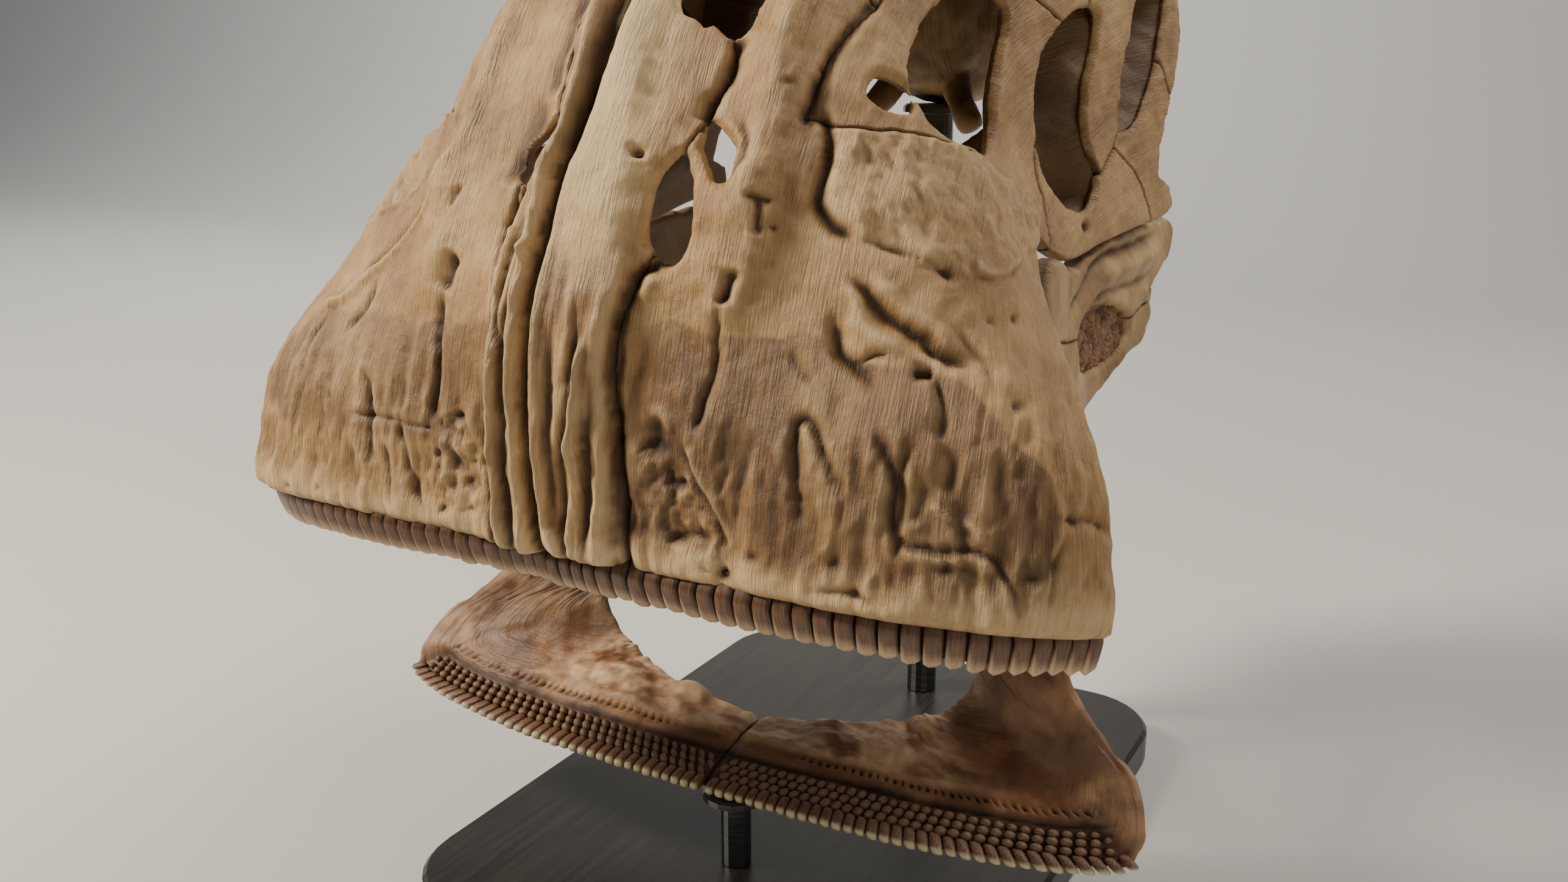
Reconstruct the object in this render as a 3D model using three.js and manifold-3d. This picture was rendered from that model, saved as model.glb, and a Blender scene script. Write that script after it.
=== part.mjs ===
// Skull of Nigersaurus, jaws hanging open, on a plain display stand.
// Millimetres, Z up, the snout faces -Y and the animal's left is +X.
import * as THREE from 'three';
import { mergeVertices } from 'three/addons/utils/BufferGeometryUtils.js';
import Module from 'manifold-3d';

const wasm = await Module();
wasm.setup();

// Driving sizes
const toothPitch = 5; // one upper tooth and its gap
const teethPerSide = 30; // upper row
const lowerTeethPerSide = 34;
const premaxillaTeeth = 4;
const premaxillaPitch = 3.8; // the four front teeth are narrower
const sutureGap = 0.8; // left open between neighbouring bones
const wallThickness = 4.5;
const rimThickness = 13; // the wall where it holds the tooth roots
const rimHeight = 0.55; // how far up the rim reaches, in stations
const jawPlateThickness = 8;
const jawPlateX = 87.3;
const matrixDepth = 3.5; // the jaw's oval hollow is filled to this far below its face
const skullLift = 145; // upper tooth tips above the floor
const skullShift = -147.3; // sets the middle of the model over the origin

// Stand
const baseSize = { width: 190, depth: 250, height: 14, corner: 28, centreY: 147.3 };
const postRadius = 6;
const postPlace = { y: 240, top: 111 };
const jawRodRadius = 5;
const jawRodPlace = { y: 88, top: -103.4 };
const padHeight = 4;

// Stations of the outer surface, from the tooth row (0) to the back of the head (11).
// crest is the midline point [y, z] and edge is the lower rim of the cheek [y, z].
// half is the half width. turn is how far round the roof bends into the wall and spread
// how gently. crown and wall are the slopes of roof and wall, in degrees.
const stations = [
  { crest: [-3, 7], edge: [31, 0], half: 135, turn: 0.86, spread: 0.5, crown: 0, wall: 100 },
  { crest: [-2.5, 40], edge: [42, 38], half: 127, turn: 0.8, spread: 0.42, crown: 6, wall: 94 },
  { crest: [1.5, 70], edge: [70, 66], half: 110, turn: 0.7, spread: 0.32, crown: 17, wall: 90 },
  { crest: [11, 100], edge: [84, 82], half: 97, turn: 0.62, spread: 0.26, crown: 24, wall: 88 },
  { crest: [22, 118], edge: [96, 88], half: 92, turn: 0.54, spread: 0.24, crown: 24, wall: 86 },
  { crest: [36, 141], edge: [110, 81], half: 85, turn: 0.47, spread: 0.22, crown: 20, wall: 84 },
  { crest: [57, 160], edge: [134, 68], half: 81, turn: 0.4, spread: 0.2, crown: 14, wall: 83 },
  { crest: [90, 174], edge: [165, 69], half: 82, turn: 0.36, spread: 0.19, crown: 8, wall: 82 },
  { crest: [132, 184], edge: [195, 73], half: 87, turn: 0.34, spread: 0.19, crown: 5, wall: 83 },
  { crest: [180, 192], edge: [225, 77], half: 92, turn: 0.33, spread: 0.19, crown: 3, wall: 85 },
  { crest: [230, 195], edge: [254, 88], half: 91, turn: 0.34, spread: 0.2, crown: 3, wall: 87 },
  { crest: [276, 187], edge: [284, 104], half: 80, turn: 0.36, spread: 0.2, crown: 5, wall: 88 },
];
const lastStation = stations.length - 1;

// Openings of one side, as [t, v]: t runs over the half section from the midline (0) to
// the cheek edge (1), v runs along the stations
const openings = {
  narisLower: [[0.2, 2.35], [0.165, 2.55], [0.16, 2.95], [0.18, 3.43], [0.215, 2.9], [0.23, 2.5]],
  narisUpper: [[0.25, 2.99], [0.228, 3.23], [0.21, 3.85], [0.25, 3.49], [0.27, 3.18]],
  narisTop: [[0.12, 4.85], [0.15, 4.62], [0.21, 4.6], [0.205, 5.3], [0.19, 6.2], [0.15, 6.6], [0.11, 6]],
  cheekHole: [[0.425, 4.56], [0.445, 4.84], [0.495, 4.82], [0.505, 4.5], [0.46, 4.4]],
  antorbital: [
    [0.47, 5.34], [0.51, 4.72], [0.57, 4.38], [0.65, 4.42], [0.74, 5], [0.72, 5.8],
    [0.64, 6.45], [0.56, 6.95], [0.5, 7], [0.45, 6.3],
  ],
  orbit: [
    [0.91, 7.15], [0.925, 6.6], [0.84, 6.45], [0.72, 6.86], [0.66, 7.16], [0.61, 7.55],
    [0.575, 8], [0.57, 8.35], [0.61, 8.35], [0.7, 7.95], [0.79, 7.62], [0.87, 7.45],
  ],
  temporal: [
    [0.81, 8.3], [0.73, 8.52], [0.6, 8.95], [0.52, 9.3], [0.53, 9.72], [0.6, 9.8],
    [0.7, 9.42], [0.79, 8.8],
  ],
};

// Bones of one side, as outlines in [t, v] that share their corners
const bonePlates = {
  premaxilla: [
    [0, 0], [0.1, 0], [0.12, 1.2], [0.155, 2.35], [0.19, 2.9], [0.195, 3.5], [0.2, 4.2],
    [0.2, 4.9], [0.1, 5.5], [0, 5.7],
  ],
  maxilla: [
    [0.1, 0], [1, 0], [1, 4.15], [0.9, 4.06], [0.64, 3.97], [0.51, 3.98], [0.35, 3.95],
    [0.355, 4.8], [0.385, 5.65], [0.3, 5.9], [0.2, 5.6], [0.2, 4.9], [0.2, 4.2],
    [0.195, 3.5], [0.19, 2.9], [0.155, 2.35], [0.12, 1.2],
  ],
  nasal: [
    [0, 5.7], [0.1, 5.5], [0.2, 4.9], [0.2, 5.6], [0.3, 5.9], [0.29, 6.4], [0.27, 7],
    [0.2, 7.25], [0, 7.3],
  ],
  lacrimal: [
    [0.35, 3.95], [0.51, 3.98], [0.64, 3.97], [0.9, 4.06], [1, 4.15], [1, 5.3], [0.9, 6],
    [0.8, 6.4], [0.7, 7.1], [0.6, 7.95], [0.5, 7.45], [0.42, 7], [0.37, 6.4],
    [0.385, 5.65], [0.355, 4.8],
  ],
  prefrontal: [
    [0.3, 5.9], [0.385, 5.65], [0.37, 6.4], [0.42, 7], [0.5, 7.45], [0.6, 7.95], [0.6, 8.3],
    [0.5, 8.35], [0.4, 8], [0.3, 7.6], [0.27, 7], [0.29, 6.4],
  ],
  frontal: [
    [0, 7.3], [0.2, 7.25], [0.27, 7], [0.3, 7.6], [0.4, 8], [0.5, 8.35], [0.42, 8.8],
    [0.38, 9.4], [0.2, 9.5], [0, 9.45],
  ],
  postorbital: [
    [0.5, 8.35], [0.6, 8.3], [0.8, 7.5], [0.87, 7.6], [0.83, 8.05], [0.78, 8.45],
    [0.6, 9.2], [0.52, 9.6], [0.42, 9.75], [0.38, 9.4], [0.42, 8.8],
  ],
  jugal: [
    [1, 5.3], [1, 8.4], [0.9, 8.35], [0.83, 8.05], [0.87, 7.6], [0.87, 6.9], [0.7, 7.1],
    [0.8, 6.4], [0.9, 6],
  ],
  quadratojugal: [
    [1, 8.4], [1, 9.12], [0.95, 9.15], [0.915, 8.85], [0.87, 9.05], [0.8, 9.62],
    [0.68, 9.35], [0.78, 8.45], [0.83, 8.05], [0.9, 8.35],
  ],
  squamosal: [
    [0.8, 9.62], [0.72, 10.15], [0.7, 10.5], [0.62, 10.85], [0.5, 11], [0.36, 11],
    [0.36, 10.6], [0.38, 10.1], [0.42, 9.75], [0.52, 9.6], [0.6, 9.2], [0.68, 9.35],
  ],
};
const parietalHalf = [
  [0, 9.45], [0.2, 9.5], [0.38, 9.4], [0.42, 9.75], [0.38, 10.1], [0.36, 10.6], [0.36, 11],
  [0, 11],
];

// Lower jaw of one side, as a band between an outer and an inner edge, which runs from the
// chin along the tooth row and round the corner up into the ramus. above and below are the
// swell of its two faces, the lower of which is a wedge, thin at the outer edge.
const jawBand = [
  { outer: [0, 67.5, -94.5], inner: [0, 104, -87], above: 3, below: 18 },
  { outer: [35, 68, -94.2], inner: [30, 107, -83], above: 3, below: 18 },
  { outer: [70, 69, -93.5], inner: [52, 111, -78.5], above: 3, below: 17 },
  { outer: [101, 72, -92], inner: [62, 113.5, -73], above: 4, below: 15 },
  { outer: [124, 77, -90], inner: [67, 115, -67], above: 4, below: 12 },
  { outer: [132.5, 83, -86], inner: [70, 116, -61], above: 4, below: 10 },
  { outer: [128, 95, -71], inner: [72, 117.5, -56], above: 5, below: 9 },
  { outer: [113, 101, -58], inner: [75, 119, -50], above: 5, below: 8 },
  { outer: [104, 105, -47], inner: [78, 121, -42], above: 5, below: 7 },
  { outer: [100, 106, -30], inner: [82, 126, -27], above: 5, below: 6 },
  { outer: [96, 106, -12], inner: [88, 131, -12], above: 4, below: 5 },
  { outer: [93, 107, 1], inner: [91, 133, 1], above: 4, below: 5 },
];
const lowerRowEnd = 5; // the tooth row ends at this knot of the band

// Rear plate of the lower jaw, seen from the side as [y, z]
const jawPlate = [
  [104, 48], [112, 58], [125, 62.5], [138, 65], [158, 67.5], [181, 69.5], [206, 71], [238, 71],
  [258, 70.5], [268, 67], [269, 61], [263, 55.5], [247, 51.5], [236, 48], [232, 39], [221, 31.5],
  [199, 27.5], [181, 23.5], [164, 19], [149, 13], [140, 6.5], [136, 2.2], [106, 2.2], [102, 20],
];
const jawHole = { y: 172, z: 40.5, radiusY: 33, radiusZ: 10.5, tilt: -0.06 };
const jawSeam = [[60, 50], [126, 48], [150, 44], [205, 41], [240, 50], [300, 60]];

const boneLook = { color: 0xc9a678, roughness: 0.55, metalness: 0 };
const jawLook = { color: 0xa87850, roughness: 0.55, metalness: 0 };
const baseLook = { color: 0x2b2a29, roughness: 0.6, metalness: 0 };
const rodLook = { color: 0x3a3b3d, roughness: 0.4, metalness: 0.9 };

// Value of a smooth curve through evenly spaced rows of numbers, at place x
function smooth(rows, x) {
  const last = rows.length - 1;
  const i = Math.min(Math.max(Math.floor(x), 0), last - 1);
  const s = x - i;
  const slope = (k) => rows[0].map((_, c) => {
    const before = rows[Math.max(k - 1, 0)][c];
    const after = rows[Math.min(k + 1, last)][c];
    return (after - before) / (k === 0 || k === last ? 1 : 2);
  });
  const [m0, m1] = [slope(i), slope(i + 1)];
  const [h0, h1] = [2 * s ** 3 - 3 * s ** 2 + 1, 3 * s ** 2 - 2 * s ** 3];
  const [g0, g1] = [s ** 3 - 2 * s ** 2 + s, s ** 3 - s ** 2];
  return rows[0].map((_, c) => h0 * rows[i][c] + h1 * rows[i + 1][c] + g0 * m0[c] + g1 * m1[c]);
}

const stationRows = stations.map((s) => (
  [...s.crest, ...s.edge, s.half, s.turn, s.spread, s.crown, s.wall]
));
const acrossSteps = 100;
const stepsPerStation = 10;
const radians = Math.PI / 180;

// One half section: the heading swings from the crown's slope to the wall's while the pen
// moves outwards, and the curve is then scaled to the station's width and depth
function sectionPoints(v) {
  const [cy, cz, ey, ez, half, turn, spread, crown, wall] = smooth(stationRows, v);
  const xs = [0];
  const drops = [0];
  const heading = (s) => {
    const u = Math.min(Math.max((s - turn + spread) / (2 * spread), 0), 1);
    const bend = u * u * (3 - 2 * u);
    const start = crown * Math.min(s / 0.06, 1);
    return (start + (wall - start) * bend) * radians;
  };
  for (let j = 1; j <= acrossSteps; j += 1) {
    const [a, b] = [heading((j - 1) / acrossSteps), heading(j / acrossSteps)];
    xs.push(xs[j - 1] + (Math.cos(a) + Math.cos(b)) / 2);
    drops.push(drops[j - 1] + (Math.sin(a) + Math.sin(b)) / 2);
  }
  const wide = Math.max(...xs);
  const deep = drops[acrossSteps];
  return xs.map((x, j) => {
    const d = drops[j] / deep;
    return new THREE.Vector3((x / wide) * half, cy + (ey - cy) * d, cz + (ez - cz) * d);
  });
}

const surfaceGrid = [];
for (let i = 0; i <= lastStation * stepsPerStation; i += 1) {
  surfaceGrid.push(sectionPoints(i / stepsPerStation));
}

// Point of the skull's outer surface at (t, v); t below 0 is the right side
function surfacePoint(t, v) {
  const row = Math.min(Math.max(v, 0) * stepsPerStation, lastStation * stepsPerStation - 1e-6);
  const column = Math.min(Math.abs(t) * acrossSteps, acrossSteps - 1e-6);
  const [i, j] = [Math.floor(row), Math.floor(column)];
  const near = surfaceGrid[i][j].clone().lerp(surfaceGrid[i][j + 1], column - j);
  const far = surfaceGrid[i + 1][j].clone().lerp(surfaceGrid[i + 1][j + 1], column - j);
  const point = near.lerp(far, row - i);
  if (t < 0) point.x = -point.x;
  return point;
}

const probe = { t: 0.05, v: 0.5 };

function surfaceFrame(t, v) {
  const [t0, t1] = [Math.max(t - probe.t, -1), Math.min(t + probe.t, 1)];
  const [v0, v1] = [Math.max(v - probe.v, 0), Math.min(v + probe.v, lastStation)];
  const alongT = surfacePoint(t1, v).sub(surfacePoint(t0, v)).divideScalar(t1 - t0);
  const alongV = surfacePoint(t, v1).sub(surfacePoint(t, v0)).divideScalar(v1 - v0);
  const normal = alongT.clone().cross(alongV).normalize();
  return { alongT, alongV, normal };
}

function wallDepth(v) {
  return wallThickness + (rimThickness - wallThickness) * Math.exp(-((v / rimHeight) ** 2));
}

// Solids and meshes
function toSolid(geometry) {
  const bare = geometry.clone();
  bare.deleteAttribute('normal');
  bare.deleteAttribute('uv');
  const merged = mergeVertices(bare, 1e-5);
  return new wasm.Manifold(new wasm.Mesh({
    numProp: 3,
    vertProperties: new Float32Array(merged.attributes.position.array),
    triVerts: new Uint32Array(merged.index.array),
  }));
}

function toGeometry(solid) {
  const mesh = solid.getMesh();
  const geometry = new THREE.BufferGeometry();
  geometry.setAttribute('position', new THREE.BufferAttribute(mesh.vertProperties, 3));
  geometry.setIndex(new THREE.BufferAttribute(mesh.triVerts, 1));
  return geometry;
}

function mapVertices(geometry, place) {
  const position = geometry.attributes.position;
  const point = new THREE.Vector3();
  for (let i = 0; i < position.count; i += 1) {
    point.fromBufferAttribute(position, i);
    place(point);
    position.setXYZ(i, point.x, point.y, point.z);
  }
  return geometry;
}

// The same shape on the right side, with its faces turned to point outwards again
function mirrored(geometry) {
  const copy = mapVertices(geometry.clone(), (p) => { p.x = -p.x; });
  const index = copy.index.array;
  for (let i = 0; i < index.length; i += 3) {
    [index[i], index[i + 1]] = [index[i + 1], index[i]];
  }
  return copy;
}

// The skull wall is first laid out flat, x for t and y for v, so that its outlines can be
// cut straight down, and is then wrapped onto the surface. The flat block is slightly
// domed, which keeps its grid when it is cut.
const flat = { t: 100, v: 20, depth: 10, dome: 0.001, columns: 18, rows: 17 };

function domeHeight(x, y) {
  return flat.dome * (x * x + y * y);
}

function flatBlock() {
  const long = lastStation * flat.v;
  const block = new THREE.BoxGeometry(2 * flat.t, long, flat.depth, flat.columns, flat.rows, 1);
  block.translate(0, long / 2, -flat.depth / 2);
  mapVertices(block, (p) => { p.z += domeHeight(p.x, p.y); });
  return toSolid(block);
}

function cutter(outline) {
  const shape = new THREE.Shape(outline.map(([t, v]) => new THREE.Vector2(t * flat.t, v * flat.v)));
  const prism = new THREE.ExtrudeGeometry(shape, { depth: 120, bevelEnabled: false });
  prism.translate(0, 0, -30);
  return toSolid(prism);
}

// Rounded outline through a few [t, v] points
function rounded(points, divisions) {
  const curve = new THREE.CatmullRomCurve3(
    points.map(([t, v]) => new THREE.Vector3(t * flat.t, v * flat.v, 0)), true,
  );
  return curve.getPoints(divisions).slice(0, -1).map((p) => [p.x / flat.t, p.y / flat.v]);
}

// Outline drawn in by half the suture gap, measured square to each side on the surface
function inset(outline, gap) {
  const turn = Math.sign(THREE.ShapeUtils.area(outline.map(([t, v]) => new THREE.Vector2(t, v))));
  return outline.map(([t, v], i) => {
    const { alongT, alongV, normal } = surfaceFrame(t, v);
    const before = outline[(i + outline.length - 1) % outline.length];
    const after = outline[(i + 1) % outline.length];
    const inward = (from, to) => {
      const side = alongT.clone().multiplyScalar(to[0] - from[0]);
      side.addScaledVector(alongV, to[1] - from[1]);
      return normal.clone().cross(side).setLength(turn);
    };
    const a = inward(before, [t, v]);
    const b = inward([t, v], after);
    const step = a.clone().add(b).multiplyScalar(gap / 2 / Math.max(1 + a.dot(b), 0.02));
    const [tt, tv, vv] = [alongT.dot(alongT), alongT.dot(alongV), alongV.dot(alongV)];
    const [st, sv] = [step.dot(alongT), step.dot(alongV)];
    const spread = tt * vv - tv * tv;
    return [t + (st * vv - sv * tv) / spread, v + (sv * tt - st * tv) / spread];
  });
}

// Wraps a flat piece onto the surface, its depth running inwards along the normal
function wrapped(solid) {
  return mapVertices(toGeometry(solid), (p) => {
    const [t, v] = [p.x / flat.t, p.y / flat.v];
    const depth = Math.min(Math.max((domeHeight(p.x, p.y) - p.z) / flat.depth, 0), 1);
    const { normal } = surfaceFrame(t, v);
    p.copy(surfacePoint(t, v).addScaledVector(normal, -depth * wallDepth(v)));
  });
}

let wall = flatBlock();
Object.values(openings).forEach((points) => {
  const hole = rounded(points, 2 * points.length);
  wall = wall.subtract(cutter(hole));
  wall = wall.subtract(cutter(hole.map(([t, v]) => [-t, v]).reverse()));
});

function plateGeometry(outline) {
  return wrapped(wall.intersect(cutter(inset(outline, sutureGap))));
}

// Six times the volume that a mesh closes in, below zero where its faces point inwards
function signedVolume(points, index) {
  let sum = 0;
  for (let i = 0; i < index.length; i += 3) {
    const [a, b, c] = [points[index[i]], points[index[i + 1]], points[index[i + 2]]];
    sum += a.dot(b.clone().cross(c));
  }
  return sum;
}

// Closed tube through rings of equal length, with a fan at each end
function loft(rings) {
  const size = rings[0].length;
  const points = rings.flat();
  const index = [];
  for (let i = 0; i < rings.length - 1; i += 1) {
    for (let j = 0; j < size; j += 1) {
      const [a, b] = [i * size + j, i * size + ((j + 1) % size)];
      index.push(a, b, b + size, a, b + size, a + size);
    }
  }
  const end = (rings.length - 1) * size;
  for (let j = 1; j < size - 1; j += 1) {
    index.push(0, j + 1, j, end, end + j, end + j + 1);
  }
  if (signedVolume(points, index) < 0) index.reverse();
  const geometry = new THREE.BufferGeometry().setFromPoints(points);
  geometry.setIndex(index);
  return geometry;
}

// Ring of a rounded section: a and b are its half axes as vectors, and far gives the length
// of the half axis against b at a place along a
function ring(centre, a, b, far, count) {
  return Array.from({ length: count }, (_, i) => {
    const angle = (2 * Math.PI * i) / count;
    const swell = Math.sin(angle);
    const point = centre.clone().addScaledVector(a, Math.cos(angle));
    return point.addScaledVector(b, swell < 0 ? swell * far(Math.cos(angle)) : swell);
  });
}

// Upper tooth row: place, heading and width of a tooth counted from the midline. The
// heading turns from straight across to backwards.
function upperRowPoint(count) {
  const steps = 12;
  const place = new THREE.Vector3();
  const headingAt = (k) => {
    const t = k / teethPerSide;
    return -0.156 * t + 1.461 * t ** 3 - 0.147 * t ** 9;
  };
  const rowTilt = -0.202;
  for (let k = 0; k < count * steps; k += 1) {
    const middle = (k + 0.5) / steps;
    const pitch = middle < premaxillaTeeth ? premaxillaPitch : toothPitch;
    const heading = headingAt(middle);
    place.x += (Math.cos(heading) * pitch) / steps;
    place.y += (Math.sin(heading) * pitch) / steps;
  }
  const y = place.y;
  place.y = y * Math.cos(rowTilt);
  place.z = y * Math.sin(rowTilt);
  return { place, heading: headingAt(count) };
}

const toothLevels = 1;

// A tooth as a tapered peg: width across, depth front to back, drawn along its levels
function toothSolid(width, levels) {
  const peg = new THREE.BoxGeometry(1, 1, toothLevels, 1, 1, toothLevels);
  peg.translate(0, 0, toothLevels / 2);
  mapVertices(peg, (p) => {
    const level = levels[Math.round(p.z)];
    p.set(p.x * width * level.wide, level.out + p.y * level.deep, level.up);
  });
  return peg;
}

const upperLevels = [
  { up: -2.6, out: 1.2, deep: 1.6, wide: 0.85 },
  { up: 10, out: 2.2, deep: 3, wide: 1 },
];

function upperTooth(number) {
  const { place, heading } = upperRowPoint(number + 0.5);
  const width = (number < premaxillaTeeth ? premaxillaPitch : toothPitch) - 0.55;
  const tooth = toothSolid(width, upperLevels);
  const turn = new THREE.Matrix4().makeRotationZ(heading);
  mapVertices(tooth, (p) => {
    p.y = 2.4 - p.y;
    p.x = -p.x;
  });
  tooth.applyMatrix4(turn);
  tooth.translate(place.x, place.y, place.z);
  return toSolid(tooth);
}

const jawRows = jawBand.map((k) => [...k.outer, ...k.inner, k.above, k.below]);

// Edges and swell of the lower jaw's band at knot number k, which need not be whole
function jawAt(k) {
  const row = smooth(jawRows, Math.min(Math.max(k, 0), jawRows.length - 1));
  const outer = new THREE.Vector3(row[0], row[1], row[2]);
  const inner = new THREE.Vector3(row[3], row[4], row[5]);
  return { outer, inner, above: row[6], below: row[7] };
}

// Knot numbers of evenly spaced points along the outer edge, as far as the tooth row goes
function lowerRowKnots(count) {
  const steps = 200;
  const lengths = [0];
  for (let i = 1; i <= steps; i += 1) {
    const [a, b] = [jawAt(((i - 1) * lowerRowEnd) / steps), jawAt((i * lowerRowEnd) / steps)];
    lengths.push(lengths[i - 1] + a.outer.distanceTo(b.outer));
  }
  return Array.from({ length: count + 1 }, (_, n) => {
    const wanted = (lengths[steps] * n) / count;
    const i = Math.max(lengths.findIndex((length) => length >= wanted), 1);
    const part = (wanted - lengths[i - 1]) / (lengths[i] - lengths[i - 1]);
    return ((i - 1 + part) * lowerRowEnd) / steps;
  });
}

function lowerTooth(from, to) {
  const [a, b] = [jawAt(from).outer, jawAt(to).outer];
  const middle = jawAt((from + to) / 2);
  const side = b.clone().sub(a);
  const tooth = toothSolid(side.length() - 0.5, lowerLevels);
  side.normalize();
  const inward = middle.inner.sub(middle.outer);
  inward.addScaledVector(side, -inward.dot(side)).normalize();
  const thick = inward.clone().cross(side);
  tooth.applyMatrix4(new THREE.Matrix4().makeBasis(side, thick, inward));
  tooth.translate(middle.outer.x, middle.outer.y, middle.outer.z);
  return toSolid(tooth);
}

const lowerLevels = [
  { up: -2.6, out: 0.6, deep: 1.4, wide: 0.75 },
  { up: 5, out: 0, deep: 3, wide: 1 },
];

const skull = new THREE.Group();
skull.position.set(0, skullShift, skullLift);
const stand = new THREE.Group();
stand.position.copy(skull.position);

function addMesh(group, name, geometry, look) {
  const mesh = new THREE.Mesh(geometry, new THREE.MeshStandardMaterial(look));
  mesh.name = name;
  group.add(mesh);
}

function addPair(name, geometry, look) {
  addMesh(skull, `${name}_left`, geometry, look);
  addMesh(skull, `${name}_right`, mirrored(geometry), look);
}

function withTeeth(geometry, first, last) {
  let solid = toSolid(geometry);
  for (let number = first; number < last; number += 1) {
    solid = solid.add(upperTooth(number));
  }
  return toGeometry(solid);
}

// Bones of the outer wall
Object.entries(bonePlates).forEach(([name, outline]) => {
  let geometry = plateGeometry(outline);
  if (name === 'premaxilla') geometry = withTeeth(geometry, 0, premaxillaTeeth);
  if (name === 'maxilla') geometry = withTeeth(geometry, premaxillaTeeth, teethPerSide);
  addPair(name, geometry, boneLook);
});

const parietalOutline = [
  ...parietalHalf,
  ...parietalHalf.slice(1, -1).reverse().map(([t, v]) => [-t, v]),
];
addMesh(skull, 'parietal', plateGeometry(parietalOutline), boneLook);

// Front of the lower jaw with its teeth
function jawBandGeometry() {
  const count = 20;
  const rings = [];
  for (let i = 0; i <= count; i += 1) {
    const k = ((jawRows.length - 1) * i) / count;
    const { outer, inner, above, below } = jawAt(k);
    const [before, after] = [jawAt(k - 0.1), jawAt(k + 0.1)];
    const along = after.outer.add(after.inner).sub(before.outer).sub(before.inner);
    const across = outer.clone().sub(inner).multiplyScalar(0.5);
    const up = across.clone().cross(along).setLength(above);
    const centre = outer.add(inner).multiplyScalar(0.5);
    const wedge = (cos) => (below / above) * (0.1 + 0.6 * (1 - cos));
    rings.push(ring(centre, across, up, wedge, 8));
  }
  rings[0].forEach((p) => { p.x = sutureGap / 2; });
  return loft(rings);
}

let dentary = toSolid(jawBandGeometry());
const rowKnots = lowerRowKnots(lowerTeethPerSide);
for (let n = 0; n < lowerTeethPerSide; n += 1) {
  dentary = dentary.add(lowerTooth(rowKnots[n], rowKnots[n + 1]));
}
addPair('dentary', toGeometry(dentary), jawLook);

// Rear of the lower jaw: a side plate with an oval opening, split along its seam
function sidePrism(outline, from, to, bevel) {
  const shape = new THREE.Shape(outline.map(([y, z]) => new THREE.Vector2(y, z)));
  const options = bevel
    ? { bevelThickness: bevel, bevelSize: bevel, bevelOffset: -bevel, bevelSegments: 1 }
    : { bevelEnabled: false };
  const depth = to - from - 2 * (bevel || 0);
  const prism = new THREE.ExtrudeGeometry(shape, { depth, ...options });
  return prism.translate(0, 0, from + (bevel || 0))
    .applyMatrix4(new THREE.Matrix4().set(0, 0, 1, 0, 1, 0, 0, 0, 0, 1, 0, 0, 0, 0, 0, 1));
}

function sideOval({ y, z, radiusY, radiusZ, tilt }, count) {
  return Array.from({ length: count }, (_, i) => {
    const angle = (2 * Math.PI * i) / count;
    const [a, b] = [radiusY * Math.cos(angle), radiusZ * Math.sin(angle)];
    return [y + a * Math.cos(tilt) - b * Math.sin(tilt), z + a * Math.sin(tilt) + b * Math.cos(tilt)];
  });
}

const plateFrom = jawPlateX - jawPlateThickness / 2;
const plateTo = jawPlateX + jawPlateThickness / 2;
const cutFrom = plateFrom - 5;
const cutTo = plateTo + 5;
const jawWhole = toSolid(sidePrism(jawPlate, plateFrom, plateTo, 1.5))
  .subtract(toSolid(sidePrism(sideOval(jawHole, 14), plateTo - matrixDepth, cutTo)));
const seamShift = (shift) => jawSeam.map(([y, z]) => [y, z + shift]);
const reach = 80;
const aboveSeam = [...seamShift(sutureGap / 2), [300, 60 + reach], [60, 50 + reach]];
const belowSeam = [[60, 50 - reach], [300, 60 - reach], ...seamShift(-sutureGap / 2).reverse()];
addPair('surangular', toGeometry(
  jawWhole.intersect(toSolid(sidePrism(aboveSeam, cutFrom, cutTo))),
), jawLook);
addPair('angular', toGeometry(
  jawWhole.intersect(toSolid(sidePrism(belowSeam, cutFrom, cutTo))),
), jawLook);

// Rod of changing section along a smooth path. Each knot is [x, y, z, half width, half
// height], the width lying crosswise and level.
function boneRod(knots, count, sides) {
  const at = (k) => smooth(knots, Math.min(Math.max(k, 0), knots.length - 1));
  const level = new THREE.Vector3(0, 0, 1);
  return loft(Array.from({ length: count + 1 }, (_, i) => {
    const k = ((knots.length - 1) * i) / count;
    const row = at(k);
    const [before, after] = [at(k - 0.1), at(k + 0.1)];
    const along = new THREE.Vector3(after[0] - before[0], after[1] - before[1], after[2] - before[2]);
    const a = along.clone().cross(level).setLength(row[3]);
    const b = a.clone().cross(along).setLength(row[4]);
    return ring(new THREE.Vector3(row[0], row[1], row[2]), a, b, () => 1, sides);
  }));
}

const articularRod = [
  [75.5, 222, 57, 3, 4], [75.5, 230, 60, 5, 8], [75.5, 244, 60, 6, 8], [75.5, 257, 60, 5, 7],
  [75.5, 264, 58, 2.5, 3.5],
];
addPair('articular', boneRod(articularRod, 6, 8), jawLook);

const quadrateRod = [
  [75.5, 244, 71.5, 6, 7], [75.5, 245, 78, 6.3, 8], [75, 247, 92, 4, 6.5], [73.5, 251, 115, 3.5, 7],
  [70, 257, 136, 4.5, 7], [68, 261, 150, 5, 5],
];
addPair('quadrate', boneRod(quadrateRod, 8, 8), boneLook);

// Wing of the palate, a slender upright blade from the quadrate to behind the snout
const pterygoidRod = [
  [67, 243, 112, 1.8, 11], [50, 222, 103, 2, 12], [36, 190, 92, 2, 10], [26, 150, 76, 2, 8],
  [18, 105, 60, 2.2, 6], [13, 66, 47, 2.4, 5], [11, 38, 40, 2, 3],
];
addPair('pterygoid', boneRod(pterygoidRod, 10, 6), boneLook);

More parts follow.
